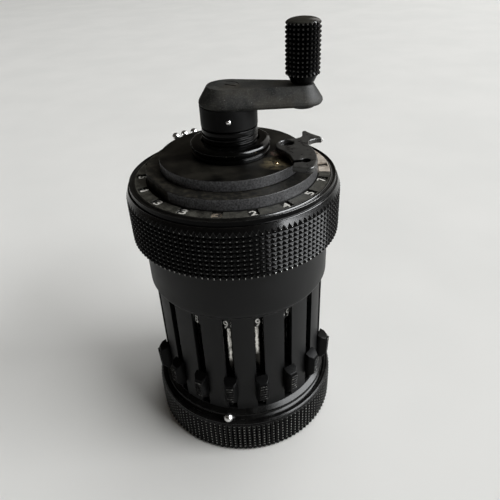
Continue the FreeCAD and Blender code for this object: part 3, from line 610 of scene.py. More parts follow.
class Finish:
    """Procedural finish whose nodes read the piece's own coordinates."""

    def __init__(self, name, **constants):
        self.material = bpy.data.materials.new(name)
        self.material.use_nodes = True
        self.nodes = self.material.node_tree.nodes
        self.links = self.material.node_tree.links
        self.shader = self.nodes["Principled BSDF"]
        for key, value in constants.items():
            self.shader.inputs[key.replace("_", " ")].default_value = value
        self.where = self.node("ShaderNodeTexCoord").outputs["Object"]

    def node(self, kind, inputs=None, **settings):
        made = self.nodes.new(kind)
        for key, value in settings.items():
            setattr(made, key, value)
        for key, value in (inputs or {}).items():
            if isinstance(value, bpy.types.NodeSocket):
                self.links.new(value, made.inputs[key])
            else:
                made.inputs[key].default_value = value
        return made

    def noise(self, size, detail=3.0, stretch=(1, 1, 1), rough=0.55):
        """Noise whose grain is about size millimetres."""
        moved = self.node("ShaderNodeMapping", {"Vector": self.where, "Scale": stretch})
        made = self.node("ShaderNodeTexNoise", {
            "Vector": moved.outputs["Vector"], "Scale": 1 / (size * MM), "Detail": detail,
            "Roughness": rough})
        return made.outputs["Fac"]

    def span(self, value, low, high, to_low=0.0, to_high=1.0):
        made = self.node("ShaderNodeMapRange", {
            "Value": value, "From Min": low, "From Max": high, "To Min": to_low,
            "To Max": to_high})
        return made.outputs["Result"]

    def rise(self, value, low, high):
        """Nought below low and one above high, both in millimetres."""
        return self.span(value, low * MM, high * MM)

    def fall(self, value, low, high):
        """One below low and nought above high, both in millimetres."""
        return self.span(value, low * MM, high * MM, 1.0, 0.0)

    def blend(self, mask, a, b):
        """Number a where a mask is nought and b where it is one."""
        return self.span(mask, 0.0, 1.0, a, b)

    def math(self, kind, a, b=0.0):
        return self.node("ShaderNodeMath", {0: a, 1: b}, operation=kind).outputs[0]

    def times(self, a, b):
        return self.math("MULTIPLY", a, b)

    def plus(self, a, b):
        return self.math("ADD", a, b)

    def minus(self, a, b):
        return self.math("SUBTRACT", a, b)

    def mix(self, factor, a, b):
        inputs = {0: factor, 6: tint(a), 7: tint(b)}
        return self.node("ShaderNodeMix", inputs, data_type="RGBA").outputs[2]

    def spread(self, noise, low, high, dark, light):
        """Tone that goes from dark to light as a noise goes from low to high."""
        return self.mix(self.span(noise, low, high), dark, light)

    def specks(self, tone, noise, low, high, share, colour):
        """Tone with a share of a colour where a noise is high."""
        return self.mix(self.times(self.span(noise, low, high), share), tone, colour)

    def part(self, axis):
        return self.node("ShaderNodeSeparateXYZ", {"Vector": self.where}).outputs[axis]

    def radius(self, x=0.0, y=0.0):
        """Distance from an upright line through x, y, in metres."""
        flat = self.node("ShaderNodeVectorMath", {0: self.where, 1: (x * MM, y * MM, 0)},
                         operation="SUBTRACT").outputs[0]
        flat = self.node("ShaderNodeVectorMath", {0: flat, 1: (1, 1, 0)},
                         operation="MULTIPLY").outputs[0]
        return self.node("ShaderNodeVectorMath", {0: flat}, operation="LENGTH").outputs["Value"]

    def wall(self, r, top):
        """One on an upright wall of a radius that ends at a top, nought on the faces inside it."""
        return self.times(self.rise(self.radius(), r - 0.12, r - 0.03),
                          self.fall(self.part("Z"), top - 0.12, top - 0.02))

    def scratched_wall(self, wall, tone):
        """Tone that turns greyer on a wall as painted light, with a fine scratched grain."""
        side = self.spread(self.noise(0.4, 4.0, rough=0.6), 0.38, 0.66, (0.018, 0.018, 0.019),
                           (0.085, 0.085, 0.09))
        return self.mix(wall, tone, side)

    def bump(self, height, strength, distance):
        made = self.node("ShaderNodeBump", {
            "Height": height, "Strength": strength, "Distance": distance * MM})
        self.links.new(made.outputs["Normal"], self.shader.inputs["Normal"])

    def put(self, **sockets):
        for key, value in sockets.items():
            self.links.new(value, self.shader.inputs[key.replace("_", " ")])
        return self

    def done(self, tone, gloss, rough, grain, strength, relief, **sockets):
        """Material with its tone, roughness that follows a noise, relief from a grain, and more."""
        self.put(Base_Color=tone, Roughness=self.span(gloss, 0.3, 0.7, *rough), **sockets)
        self.bump(grain, strength, relief)
        return self.material


def tint(value):
    """Colour with its alpha from a colour or a grey; a node's output stays as it is."""
    if isinstance(value, float):
        value = (value,) * 3
    return value + (1.0,) if isinstance(value, tuple) else value


def coated(name, dark, light, rough, patch=6.0, relief=0.006, worn=None, specular=0.35,
           speckle=(0.66, 0.72)):
    """Black coating: mottled tone, uneven gloss, fine grain and faint rubbed specks."""
    f = Finish(name, Specular_IOR_Level=specular)
    blotch = f.noise(patch, 4.0)
    tone = f.spread(blotch, 0.35, 0.68, dark, light)
    if worn:
        tone = f.specks(tone, f.noise(0.9, 5.0, rough=0.7), *speckle, 0.8, worn)
    return f.done(tone, blotch, rough, f.noise(0.25, 2.0), 0.35, relief)


def knurled(name, r, ends, lip, tips, at=(0, 0), dome=None):
    """Black knurl with tips worn to metal and a glossy cone above its top row, up to the lip. The
    tips give the depth of the wear, its share of the tips and its tone. A dome above has its own."""
    f = Finish(name)
    wear, share, bright = tips
    bottom, top = ends
    lip_r, lip_z = lip
    slope = (r - lip_r) / (lip_z - top)
    out = f.radius(*at)
    z = f.part("Z")
    ends = f.plus(f.rise(z, top - 0.35, top - 0.1), f.fall(z, bottom + 0.1, bottom + 0.35))
    patchy = f.times(f.minus(f.noise(1.4, 3.0), 0.5), 2.0 * wear * MM)
    edge = f.plus(f.plus(out, patchy), f.times(ends, 0.035 * MM))
    amount = f.times(f.rise(edge, r - wear, r - 0.3 * wear), f.blend(ends, share, 0.9))
    cone = f.plus(out, f.times(z, slope))
    skin = f.rise(cone, r + slope * top - 0.06, r + slope * top - 0.03)
    above = f.times(skin, f.rise(z, top + 0.05, top + 0.3))
    past = f.math("GREATER_THAN", z, (lip_z - 0.02) * MM)
    above = f.math("MAXIMUM", above, past) if dome else f.times(above, f.minus(1.0, past))
    plain = f.mix(amount, (0.0006, 0.0006, 0.0007), bright)
    f.put(Base_Color=f.mix(above, plain, dome or (0.0014, 0.0014, 0.0015)),
          Metallic=f.times(amount, f.minus(0.85, above)),
          Specular_IOR_Level=f.blend(above, 0.062, 0.3), Roughness=f.blend(above, 0.24, 0.2))
    f.bump(f.noise(0.12, 2.0), 0.2, 0.006)
    return f.material


def turned_metal(name, dark, light, rough, lines=0.12):
    """Turned or ground metal with fine rings along its axis."""
    f = Finish(name, Metallic=1.0)
    rings = f.noise(lines, 2.0, stretch=(0.02, 0.02, 1.0))
    tone = f.spread(f.noise(2.5, 4.0), 0.3, 0.72, dark, light)
    return f.done(tone, rings, rough, rings, 0.25, 0.006)


def shaft_finish(name, glint_strip=None):
    """Black number roller on an oiled steel shaft. A glint strip gives the middle of a painted glint
    band, across, and the height where it starts."""
    f = Finish(name, Specular_IOR_Level=0.2)
    z = f.part("Z")
    low, high = ROLLER_ENDS
    roller = f.times(f.math("GREATER_THAN", z, low * MM), f.math("LESS_THAN", z, high * MM))
    streak = f.noise(0.5, 3.0, stretch=(1, 1, 0.12))
    steel = f.spread(streak, 0.35, 0.7, (0.012, 0.011, 0.01), (0.04, 0.038, 0.034))
    if glint_strip:
        middle, start = glint_strip
        blur = f.times(f.minus(f.noise(1.1, 3.0), 0.5), 0.9 * MM)
        off = f.math("ABSOLUTE", f.minus(f.plus(f.part("X"), blur), middle * MM))
        # painted glint: a bright band down the shaft's front, where it faces out through the slot
        painted_glint = f.times(f.fall(off, 0.25, 0.6), f.rise(z, start - 1.2, start + 0.6))
        patch = f.span(f.noise(0.6, 3.0, stretch=(1, 1, 0.35)), 0.38, 0.6, 0.3, 1.0)
        steel = f.mix(f.times(painted_glint, patch), steel, (0.8, 0.78, 0.74))
    return f.done(f.mix(roller, steel, 0.006), streak, (0.16, 0.34), streak, 0.15, 0.005,
                  Metallic=f.minus(1.0, roller))


def disc_finish():
    """Black disc, brownish where it is handled, with stains and wear round its pin."""
    f = Finish("clearing_disc_black")
    blotch = f.noise(5.0, 5.0)
    fine = f.noise(0.7, 4.0, rough=0.7)
    tone = f.spread(blotch, 0.35, 0.65, (0.0016, 0.0015, 0.0013), (0.013, 0.0118, 0.009))
    near = f.fall(f.radius(*PIN_SPOT), 1.0, 4.2)
    worn = f.times(near, f.span(f.noise(1.3, 5.0, rough=0.7), 0.4, 0.54))
    tone = f.mix(f.times(worn, 0.85), tone, (0.17, 0.14, 0.085))
    pad = f.times(f.fall(f.radius(*PAD_SPOT), 0.9, 1.9), f.span(fine, 0.36, 0.5))
    tone = f.mix(f.times(pad, 0.9), tone, (0.3, 0.2, 0.165))
    tone = f.specks(tone, f.noise(0.55, 5.0, rough=0.75), 0.67, 0.74, 0.7, (0.1, 0.09, 0.07))
    wall = f.wall(DISC_R, DISC[1])
    # the disc's wall is painted greyer as painted light, with fine scratches, and is glossier
    return f.done(f.scratched_wall(wall, tone), blotch, (0.34, 0.52), fine, 0.4, 0.012,
                  Specular_IOR_Level=f.blend(wall, 0.1, 0.28))


def cover_finish():
    """Black stepped cover: brownish wear on top, a wall painted greyer as painted light with fine
    scratches, and painted shade at the wall's foot.
    """
    f = Finish("cover_black")
    blotch = f.noise(4.0, 5.0)
    tone = f.spread(blotch, 0.34, 0.66, 0.003, (0.013, 0.0125, 0.0105))
    tone = f.specks(tone, f.noise(1.6, 5.0, rough=0.7), 0.46, 0.64, 0.7, (0.05, 0.045, 0.035))
    wall = f.wall(STEP_R, STEP_TOP)
    # painted shade: the foot of the step's wall, next to the window ring, is near black
    foot = f.times(wall, f.fall(f.part("Z"), RIM_TOP + 0.1, RIM_TOP + 0.3))
    tone = f.mix(foot, f.scratched_wall(wall, tone), 0.001)
    return f.done(tone, blotch, (0.38, 0.5), f.noise(0.5, 4.0, rough=0.7), 0.3, 0.008,
                  Specular_IOR_Level=f.blend(wall, 0.18, 0.34))


def plate_finish():
    """Dark olive-grey plates between the windows, rubbed lighter, with painted shade in the groove at
    the step.
    """
    f = Finish("window_plate_black")
    blotch = f.noise(1.8, 4.0, rough=0.6)
    fine = f.noise(0.35, 4.0, rough=0.7)
    tone = f.spread(blotch, 0.36, 0.64, (0.006, 0.006, 0.0052), (0.05, 0.049, 0.041))
    tone = f.specks(tone, fine, 0.52, 0.66, 0.6, (0.15, 0.145, 0.12))
    # painted shade: the groove at the step's foot is near black, with little gloss
    painted_groove_shade = f.fall(f.radius(), WINDOW[0] - 0.02, WINDOW[0] + 0.03)
    return f.done(f.mix(painted_groove_shade, tone, 0.0006), blotch, (0.34, 0.5), fine, 0.3, 0.008,
                  Specular_IOR_Level=f.blend(painted_groove_shade, 0.32, 0.05))


def tan_metal():
    f = Finish("counter_tan_metal", Metallic=0.55)
    blotch = f.noise(2.2, 5.0, rough=0.65)
    stain = f.noise(0.8, 4.0, rough=0.7)
    tone = f.spread(blotch, 0.35, 0.66, (0.4, 0.35, 0.29), (0.68, 0.62, 0.55))
    tone = f.specks(tone, stain, 0.58, 0.74, 0.7, (0.16, 0.12, 0.09))
    return f.done(tone, blotch, (0.32, 0.5), stain, 0.25, 0.01)


def stained(name, dark, light, stain, rough=(0.4, 0.6)):
    """Painted or bare surface with blotches and small stains."""
    f = Finish(name, Specular_IOR_Level=0.3)
    blotch = f.noise(1.4, 5.0, rough=0.65)
    mark = f.noise(0.45, 4.0, rough=0.75)
    tone = f.specks(f.spread(blotch, 0.35, 0.66, dark, light), mark, 0.58, 0.74, 0.6, stain)
    return f.done(tone, blotch, rough, mark, 0.25, 0.008)


def charcoal():
    """Matt charcoal paint with a fine grain, light specks and brownish rubbed areas."""
    f = Finish("crank_charcoal", Specular_IOR_Level=0.09)
    blotch = f.noise(3.5, 5.0, rough=0.6)
    fine = f.noise(0.3, 3.0, rough=0.6)
    tone = f.spread(blotch, 0.36, 0.64, (0.016, 0.0165, 0.0165), (0.046, 0.046, 0.043))
    for noise, low, high, share, colour in (
            (f.noise(8.0, 3.0), 0.5, 0.62, 0.5, (0.05, 0.044, 0.034)),
            (fine, 0.5, 0.72, 0.45, (0.1, 0.1, 0.092)),
            (f.noise(0.9, 3.0, stretch=(1, 1, 0.1)), 0.58, 0.7, 0.3, (0.008, 0.008, 0.009)),
            (f.noise(0.8, 4.0, rough=0.6), 0.68, 0.73, 0.7, (0.3, 0.295, 0.27))):
        tone = f.specks(tone, noise, low, high, share, colour)
    return f.done(tone, blotch, (0.46, 0.66), fine, 0.5, 0.02)


def lever_finish():
    """Worn black lever, with painted shade in its small hole and the slot beside it."""
    f = Finish("lever_black")
    blotch = f.noise(1.6, 4.0, rough=0.65)
    tone = f.spread(blotch, 0.35, 0.66, 0.016, (0.052, 0.052, 0.049))
    tone = f.specks(tone, f.noise(0.7, 5.0, rough=0.7), 0.66, 0.72, 0.6, (0.13, 0.125, 0.11))
    hole = f.fall(f.radius(*LEVER_HOLE), LEVER_HOLE_R + 0.05, LEVER_HOLE_R + 0.1)
    a = math.radians(LEVER_MARK_TURN)
    dx, dy = [f.minus(f.part(axis), at * MM) for axis, at in zip("XY", LEVER_HOLE)]
    along = f.plus(f.times(dx, math.cos(a)), f.times(dy, math.sin(a)))
    across = f.minus(f.times(dy, math.cos(a)), f.times(dx, math.sin(a)))
    half = LEVER_MARK_W / 2
    slot = f.times(f.fall(f.math("ABSOLUTE", across), half + 0.02, half + 0.06),
                   f.math("LESS_THAN", along, 0.0))
    slot = f.times(slot, f.math("GREATER_THAN", along, -(LEVER_MARK_L + 0.05) * MM))
    # painted shade: near black with little gloss inside the small hole and the slot beside it, below
    # the top face
    dark = f.times(f.math("MAXIMUM", hole, slot),
                   f.math("LESS_THAN", f.part("Z"), (LEVER[1] - 0.03) * MM))
    return f.done(f.mix(dark, tone, 0.0006), blotch, (0.24, 0.38), f.noise(0.3, 4.0, rough=0.7),
                  0.35, 0.008, Specular_IOR_Level=f.blend(dark, 0.36, 0.02))


def paper():
    f = Finish("white_paper", Roughness=0.75, Specular_IOR_Level=0.07)
    f.put(Base_Color=f.spread(f.noise(60.0, 2.0), 0.35, 0.65, (0.735, 0.74, 0.73),
                              (0.765, 0.768, 0.758)))
    f.bump(f.noise(1.2, 3.0), 0.08, 0.02)
    return f.material


def backdrop_finish():
    f = Finish("pale_backdrop", Roughness=0.9, Base_Color=tint(0.02), Emission_Strength=1.0)
    soft = f.mix(f.noise(900.0, 2.0), (0.6, 0.61, 0.6), (0.66, 0.665, 0.655))
    return f.put(Emission_Color=soft).material


RUBBED = (0.03, 0.03, 0.028)
BARREL = coated("barrel_black", (0.0008, 0.0009, 0.0011), (0.0014, 0.0015, 0.0018), (0.4, 0.48),
                relief=0.003, specular=0.175)
LEDGE = coated("ledge_black", 0.003, (0.006, 0.006, 0.0057), (0.2, 0.3), 3.0, worn=RUBBED,
               specular=0.13, speckle=(0.68, 0.76))
COLLAR = coated("collar_black", 0.0008, (0.0016, 0.0016, 0.0015), (0.12, 0.2), 2.5,
                worn=(0.05, 0.048, 0.042), specular=0.19)
SLIDER = coated("slider_black", (0.0008, 0.0008, 0.0009), (0.0016, 0.0016, 0.0017), (0.28, 0.4),
                worn=0.02, specular=0.07)
RIDGE = coated("ridge_worn", 0.006, 0.05, (0.2, 0.32), 0.8, worn=(0.3, 0.3, 0.28), specular=0.34,
               speckle=(0.52, 0.62))
HUB_BLACK = coated("hub_black", (0.0006, 0.0006, 0.0007), (0.0018, 0.0018, 0.0019), (0.44, 0.56),
                   worn=RUBBED, specular=0.09)
NECK_BLACK = coated("neck_black", 0.0006, 0.0014, (0.18, 0.28), worn=RUBBED, specular=0.095)
LEVER_BLACK = lever_finish()
RIM_EDGE = coated("rim_edge_worn", 0.003, (0.009, 0.009, 0.008), (0.12, 0.22), 1.5, specular=0.36)
BASE_KNURL = knurled("base_knurl", BASE_R, BASE_ROWS, BASE_LIP, (0.05, 0.7, (0.46, 0.46, 0.44)))
CARRIAGE_KNURL = knurled("carriage_knurl", CARRIAGE_R, CARRIAGE_ROWS, CARRIAGE_LIP,
                         (0.045, 0.3, (0.32, 0.32, 0.31)))
KNOB_KNURL = knurled("knob_knurl", KNOB_R, KNOB_ROWS, KNOB_LIP, (0.14, 0.3, (0.13, 0.125, 0.12)),
                     KNOB_AT, (0.024, 0.0235, 0.02))
PLATE_BLACK = plate_finish()
COVER_BLACK = cover_finish()
DISC_BLACK = disc_finish()
CHARCOAL = charcoal()
TAN = tan_metal()
STEEL = turned_metal("bright_steel", 0.42, (0.62, 0.61, 0.6), (0.18, 0.34))
ALUMINIUM = turned_metal("turned_aluminium", 0.3, 0.46, (0.32, 0.5))
CHROME = turned_metal("bead_chrome", (0.66, 0.66, 0.65), (0.82, 0.81, 0.8), (0.2, 0.32), 0.3)
BRASS = turned_metal("pin_brass", (0.5, 0.34, 0.16), (0.75, 0.55, 0.3), (0.2, 0.35))
ROLLER = shaft_finish("roller_and_shaft")
PAINTED_GLINT_ROLLERS = {number: shaft_finish("roller_and_shaft_%d" % number, glint_strip)
                    for number, glint_strip in PAINTED_GLINT_STRIPS.items()}
BROKEN_END = stained("broken_end_bright", 0.5, (0.8, 0.8, 0.79), 0.3)
DIAL_BLACK = stained("dial_black", (0.01, 0.01, 0.0095), (0.026, 0.025, 0.021), (0.06, 0.055, 0.045))
DIAL_WORN = stained("dial_worn_tan", (0.16, 0.135, 0.105), (0.34, 0.29, 0.23), (0.06, 0.05, 0.04))
DIAL_PALE = stained("dial_pale", (0.28, 0.24, 0.2), (0.46, 0.41, 0.35), (0.12, 0.085, 0.06))
DIGIT_WHITE = stained("digit_white", (0.5, 0.49, 0.46), (0.74, 0.73, 0.69), (0.24, 0.22, 0.18))
ROLLER_WHITE = stained("roller_digit_white", (0.86, 0.85, 0.82), (0.95, 0.945, 0.92),
                       (0.6, 0.58, 0.52))
DIGIT_DARK = stained("digit_dark", (0.02, 0.018, 0.016), (0.05, 0.043, 0.036), (0.1, 0.085, 0.065))
PAPER = paper()
BACKDROP = backdrop_finish()


# Pieces of the base and barrel

def base_ring():
    form, root, foot = knurl(BASE_R, BASE_GROOVES, ROUND, 9, BASE_ROWS, BASE_LIP)
    step_r, step_z = TRACK_STEP
    form.lathe([BASE_LIP, (step_r, BASE_TOP), TRACK_STEP, (BARREL_R, step_z), (BARREL_R, COVER_T),
                (COVER_R, COVER_T), (COVER_R, 0.0), (root - 0.3, 0.0), (root, foot)], closed=False)
    add_piece("base_knurl_ring", form, [BASE_KNURL], "root", "knurl_black", "base_knurled_ring",
              sharp=20.0)


def marker_track():
    """Sloping ledge with a shallow channel for the bead and a narrow slot for its stem."""
    edge_r, edge_z = LEDGE_EDGE
    slope = math.hypot(edge_r - BARREL_R, TRACK_TOP - edge_z)
    out, up = (TRACK_TOP - edge_z) / slope, (edge_r - BARREL_R) / slope
    ring_r, ring_z = MARKER_RING

    def at(side, depth):
        return ring_r - out * depth + up * side, ring_z - up * depth - out * side

    def channel(first, last):
        sides = [first + (last - first) * k / 6 for k in range(7)]
        return [at(side, math.sqrt(CHANNEL_R ** 2 - side ** 2)) for side in sides]

    outline = soften([(BARREL_R, TRACK_STEP[1]), TRACK_STEP, (TRACK_STEP[0], TRACK_FOOT),
                      (TRACK_OUT_R, TRACK_FOOT), (TRACK_OUT_R, 10.95), LEDGE_EDGE], 0.05)
    half, low = STEM_SLOT_HALF, STEM_SLOT_DEPTH
    outline += channel(1.05, half + 0.02)
    outline += [at(half, 1.35), at(half, low), at(-half, low), at(-half, 1.35)]
    outline += channel(-half - 0.02, -1.05) + [(BARREL_R, TRACK_TOP)]
    add_piece("decimal_marker_track", Form().lathe(outline, 180), [LEDGE], "root", "ledge_black",
              "marker_track_ring", sharp=20.0)


def barrel():
    """Wall with a slot at each slider's place and one at the reversing lever's."""
    outer = [(BARREL_R, COVER_T), (BARREL_R, SLOT[0]), (BARREL_R, 30.0), (BARREL_R, SLOT[1])]
    outer += soften([(BARREL_R, SLOT[1] - 0.5, 0.0), (BARREL_R, SLOT[1] + 0.3), (BAND_R, BAND_FROM),
                     (BAND_R, BAND_FROM + 2, 0.0)], 1.2)[1:-1]
    outer += [(BAND_R, z) for z in REVERSER_SLOT]
    outer += soften([(BAND_R, 58.0, 0.0), (BAND_R, BARREL_TOP), (BAND_R - 2, BARREL_TOP, 0.0)],
                    0.3)[1:-1]
    inner = [(BARREL_IN_R, z) for r, z in outer]
    count = int(360 / GRID_STEP)
    first = UNITS_PLACE - SLOT_HALF
    angles = [(first + k * GRID_STEP, 0, 0) for k in range(count)]
    slot_rows = (1, 2)
    low, high = REVERSER_SLOT
    back_rows = [i for i in range(len(outer) - 1) if outer[i][1] >= low and outer[i + 1][1] <= high]

    def cells(place):
        start = round((place - UNITS_PLACE) / GRID_STEP)
        return {(start + k) % count for k in range(int(2 * SLOT_HALF / GRID_STEP))}

    slider_cells = set().union(*[cells(result_place(n + 1)) for n in range(SLIDERS)])
    back_cells = cells(REVERSER_PLACE)

    def hole(i, j):
        if i in slot_rows:
            return j in slider_cells
        return i in back_rows and j in back_cells

    add_piece("barrel", pierced(outer, inner, angles, hole), [BARREL], "root", "barrel_black",
              "barrel_housing", bevel=0.13, bevel_from=50.0, sharp=32.0)


def bead(r, ring_r, z, place, foot=None):
    """Silver bead, on a stem where its foot's height is given."""
    at = ring_point(ring_r, place)
    form = Form().lathe([(r * math.sin(math.pi * k / 12), z - r * math.cos(math.pi * k / 12))
                         for k in range(13)], 24, at=at, closed=False)
    if foot is not None:
        neck = z - r * 0.8
        form.lathe([(0, foot), (0.4, foot), (0.4, foot + 0.6), (0.72, foot + 0.63),
                    (0.72, foot + 0.82), (0.42, foot + 0.86), (0.4, foot + 1.7), (0.4, neck),
                    (0, neck)], 20, at=at, closed=False)
    return form


def markers():
    ring_r, ring_z = MARKER_RING
    form = bead(MARKER_R, ring_r, ring_z, MARKER_PLACE)
    # stem square to the ledge's slope, from inside the bead down into the slot
    x, y = ring_point(1.0, MARKER_PLACE)
    inward, down = STEM_SLOPE
    loops = []
    for d in (0.9, 1.8):
        r, z = ring_r - inward * d, ring_z - down * d
        loops.append([(r * x + a * y, r * y - a * x, z + u) for a, u in circle(0, 0, STEM_R, 12)])
    form.loops(loops)
    add_piece("base_bead", form, [CHROME], "base_marker", "marker_silver", "base_decimal_marker")
    for number, place in enumerate(TOP_MARKER_PLACES, 1):
        add_piece("top_bead_%d" % number, bead(1.0, RIM_GROOVE_R, TOP_MARKER_Z, place, RIM_TOP - 0.5),
                  [CHROME], "marker_%d" % number, "marker_silver", "top_decimal_marker_%d" % number)


# Setting sliders

def slider_hull():
    """Faceted finger knob: wide at the barrel, narrow and ridged in front."""
    rows = ((1.7, 23.15, 18.2), (1.7, 23.15, 26.1), (1.7, 24.2, 18.1), (1.7, 24.3, 25.6),
            (1.05, 25.6, 19.2), (1.05, 25.75, 23.9), (0.95, 25.3, 25.05), (1.0, 24.8, 18.1))
    bm = bmesh.new()
    for half, r, z in rows:
        for side in (-half, half):
            bm.verts.new((side, -r, z))
    bmesh.ops.convex_hull(bm, input=bm.verts)
    bmesh.ops.dissolve_limit(bm, angle_limit=math.radians(3), verts=bm.verts, edges=bm.edges)
    return taken(bm)


def sliders():
    hull = slider_hull()
    for number in range(1, SLIDERS + 1):
        form = Form().add(*hull).box(2.1, 21.35, 23.4, 19.5, 25.5)
        for k in range(RIDGES):
            z = RIDGE_FOOT + k * RIDGE_PITCH
            r = RIDGE_R + RIDGE_LEAN * k
            form.wedge((0.98, r, z, z + 0.42), (0.9, r + 0.42, z + 0.14, z + 0.3), 1)
        slider_inside(form)
        name = "slider_%d" % number
        add_piece(name, form.swing(result_place(number)), [SLIDER, RIDGE], name, "slider_black",
                  "setting_" + name, bevel=0.09, bevel_from=25.0)


def slider_inside(form):
    """Pin, curved skirt behind the slot, arm, fork and the sliding pinion."""
    form.pin(((0.4, 20.35), (0.4, 21.4)), 22.5, 12)
    form.loops([[ring_point(r, -5 + 16.5 * k / 8, z) for r, z in
                 ((21.3, 20.0), (21.6, 20.0), (21.6, 25.0), (21.3, 25.0))] for k in range(9)])
    arm = Form().box(0.8, 15.2, 21.5, 20.0, 25.0).swing(PLACE_PITCH / 2)
    form.add(arm.points, arm.faces)
    x, y = 0.0, -AXLE_RING_R
    tip_x, tip_y = ring_point(15.6, PLACE_PITCH / 2)
    grip = [(x + 1.36 * math.cos(a), y + 1.36 * math.sin(a)) for a in
            [math.radians(200 + 140 * k / 8) for k in range(9)]]
    form.prism([(x - 1.9, y - 0.4), (x - 1.9, y - 1.7), (tip_x - 0.35, tip_y - 0.3),
                (tip_x + 0.35, tip_y), (x + 1.6, y + 0.4)] + grip[::-1], 24.0, 24.6)
    wheel = [(x + r * math.cos(a), y + r * math.sin(a)) for r, a in zip((1.9, 1.35) * 10, turns(20))]
    bore = circle(x, y, 0.87, 20)
    form.loops([level(wheel, 21.6), level(wheel, 22.4), level(bore, 22.4), level(bore, 21.6)], 1,
               closed=True)
    form.lathe([(0.88, 22.3), (1.28, 22.3), (1.3, 23.3), (1.7, 23.3), (1.7, 23.95), (1.3, 23.95),
                (1.3, 24.65), (1.7, 24.65), (1.7, 25.2), (0.88, 25.2)], 24, 1, (x, y))


def reverser():
    form = Form().box(1.8, 21.3, 24.2, 48.4, 50.6).box(4.4, 20.7, 21.4, 47.4, 51.4)
    form.wedge((1.7, 24.05, 48.0, 51.0), (1.6, 25.3, 48.15, 50.85))
    for z in (48.35, 49.15, 49.95):
        form.wedge((1.5, 25.2, z, z + 0.6), (1.4, 25.7, z + 0.2, z + 0.4), 1)
    add_piece("reverser_knob", form.swing(REVERSER_PLACE), [SLIDER, RIDGE], "reverser",
              "slider_black", "reversing_lever", bevel=0.08, bevel_from=25.0)


# Carriage

def carriage_ring():
    form, root, foot = knurl(CARRIAGE_R, CARRIAGE_GROOVES, ROUND, 10, CARRIAGE_ROWS, CARRIAGE_LIP)
    lip = [CARRIAGE_LIP, (25.82, 72.92), (25.76, 72.98)]
    wall = [(25.5, 73.02), (25.44, 73.1), (RIM_R, RIM_TOP - 0.14)]
    edge = [(RIM_R - 0.02, RIM_TOP - 0.07), (RIM_R - 0.07, RIM_TOP - 0.02), (RIM_R - 0.14, RIM_TOP)]
    groove = soften([(25.15, RIM_TOP, 0.0), (25.05, RIM_TOP, 0.1), (24.95, 73.85), (24.45, 73.85, 0.1),
                     (24.3, RIM_TOP, 0.28), (RIM_IN_R, RIM_TOP, 0.05), (RIM_IN_R, 73.6, 0.0)], 0.08, 5)
    rest = [(RIM_IN_R, 73.6), (CARRIAGE_IN_R, 73.6), (CARRIAGE_IN_R, CARRIAGE_BOTTOM),
            (root, CARRIAGE_BOTTOM), (root, foot)]
    for outline, finish in ((lip, 1), (lip[-1:] + wall, 0), (wall[-1:] + edge + groove, 1), (rest, 0)):
        form.lathe(outline, closed=False, finish=finish)
    add_piece("carriage_ring", form, [CARRIAGE_KNURL, RIM_EDGE], "carriage", "knurl_black",
              "carriage_knurled_ring", sharp=24.0)


def window_angles(places, first, last):
    """Angles for a ring with parallel-sided windows at the places, from first to last."""
    angles = [(first, 0, 0)]
    for place in places:
        angles += [(place, 0, WINDOW_HALF * k / 2) for k in range(-2, 3)]
        angles += [(place, off, 0) for off in (5.5, 8.0, 10.5, 13.0)]
    kept = [a for a in angles if first - 0.01 <= a[0] + a[1] + 2.5 * a[2] <= last + 0.01]
    return kept + [(last, 0, 0)]


def windowed_ring(place_of, count, blanks, inner_r, outer_r, top_z):
    """Flat ring round the step's foot, with a groove next to it, blank places and then a window at
    each place."""
    places = [place_of(n) for n in range(count, 0, -1)]
    angles = window_angles(places, places[0] - (blanks + 0.5) * PLACE_PITCH,
                           places[-1] + PLACE_PITCH / 2)

    def hole(i, j):
        place, off, across = angles[j]
        return i == 2 and place in places and off == 0 and across < WINDOW_HALF

    top = [(inner_r, RIM_TOP - 0.2), (WINDOW[0] - 0.01, RIM_TOP - 0.2), (WINDOW[0], top_z),
           (WINDOW[1], top_z), (RIM_IN_R - 0.02, top_z), (outer_r, top_z)]
    under = RIM_TOP + 0.01 if top_z > RIM_TOP else COVER_UNDER
    bottom = [(r, COVER_UNDER) for r, z in top[:-1]] + [(outer_r, under)]
    return pierced(top, bottom, angles, hole, round_trip=False)


def cover():
    """Stepped disc with a flat on its edge, the window ring round it and the counter's plate."""
    half = math.radians(STEP_FLAT_HALF)
    chord = STEP_R * math.cos(half)

    def edge(inset, z):
        loop = []
        for j in range(180):
            off = math.radians((j * 2.0 - STEP_FLAT_PLACE + 180) % 360 - 180)
            r = chord / math.cos(off) if abs(off) < half else STEP_R
            loop.append(ring_point(r - inset, j * 2.0, z))
        return loop

    def ring(r, z):
        return [ring_point(r, j * 2.0, z) for j in range(180)]

    form = Form().loops([ring(BORE_R, 74.6), ring(19.4, 74.6), ring(19.4, COVER_UNDER),
                         edge(0, COVER_UNDER), edge(0, 76.7), edge(0.06, 76.83), edge(0.2, STEP_TOP),
                         ring(BORE_R, STEP_TOP)], closed=True)
    add_piece("cover_step", form, [COVER_BLACK], "carriage", "cover_black", "carriage_cover",
              sharp=32.0)
    form = windowed_ring(result_place, RESULT_DIALS, 1, STEP_R - 0.9, RIM_IN_R, RIM_TOP)
    add_piece("window_ring", form, [PLATE_BLACK], "carriage", "cover_black", bevel=0.07,
              bevel_from=50.0, sharp=32.0)
    form = windowed_ring(counter_place, COUNTER_DIALS, 0, STEP_R + 0.02, *COUNTER_PLATE)
    add_piece("counter_windows", form, [TAN], "carriage", "window_metal", "counter_window_plate",
              bevel=0.07, bevel_from=50.0, sharp=32.0)


def dress(name, finish):
    """Gives a node of the solids a finish."""
    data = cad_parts[name].data
    data.materials.clear()
    data.materials.append(finish)


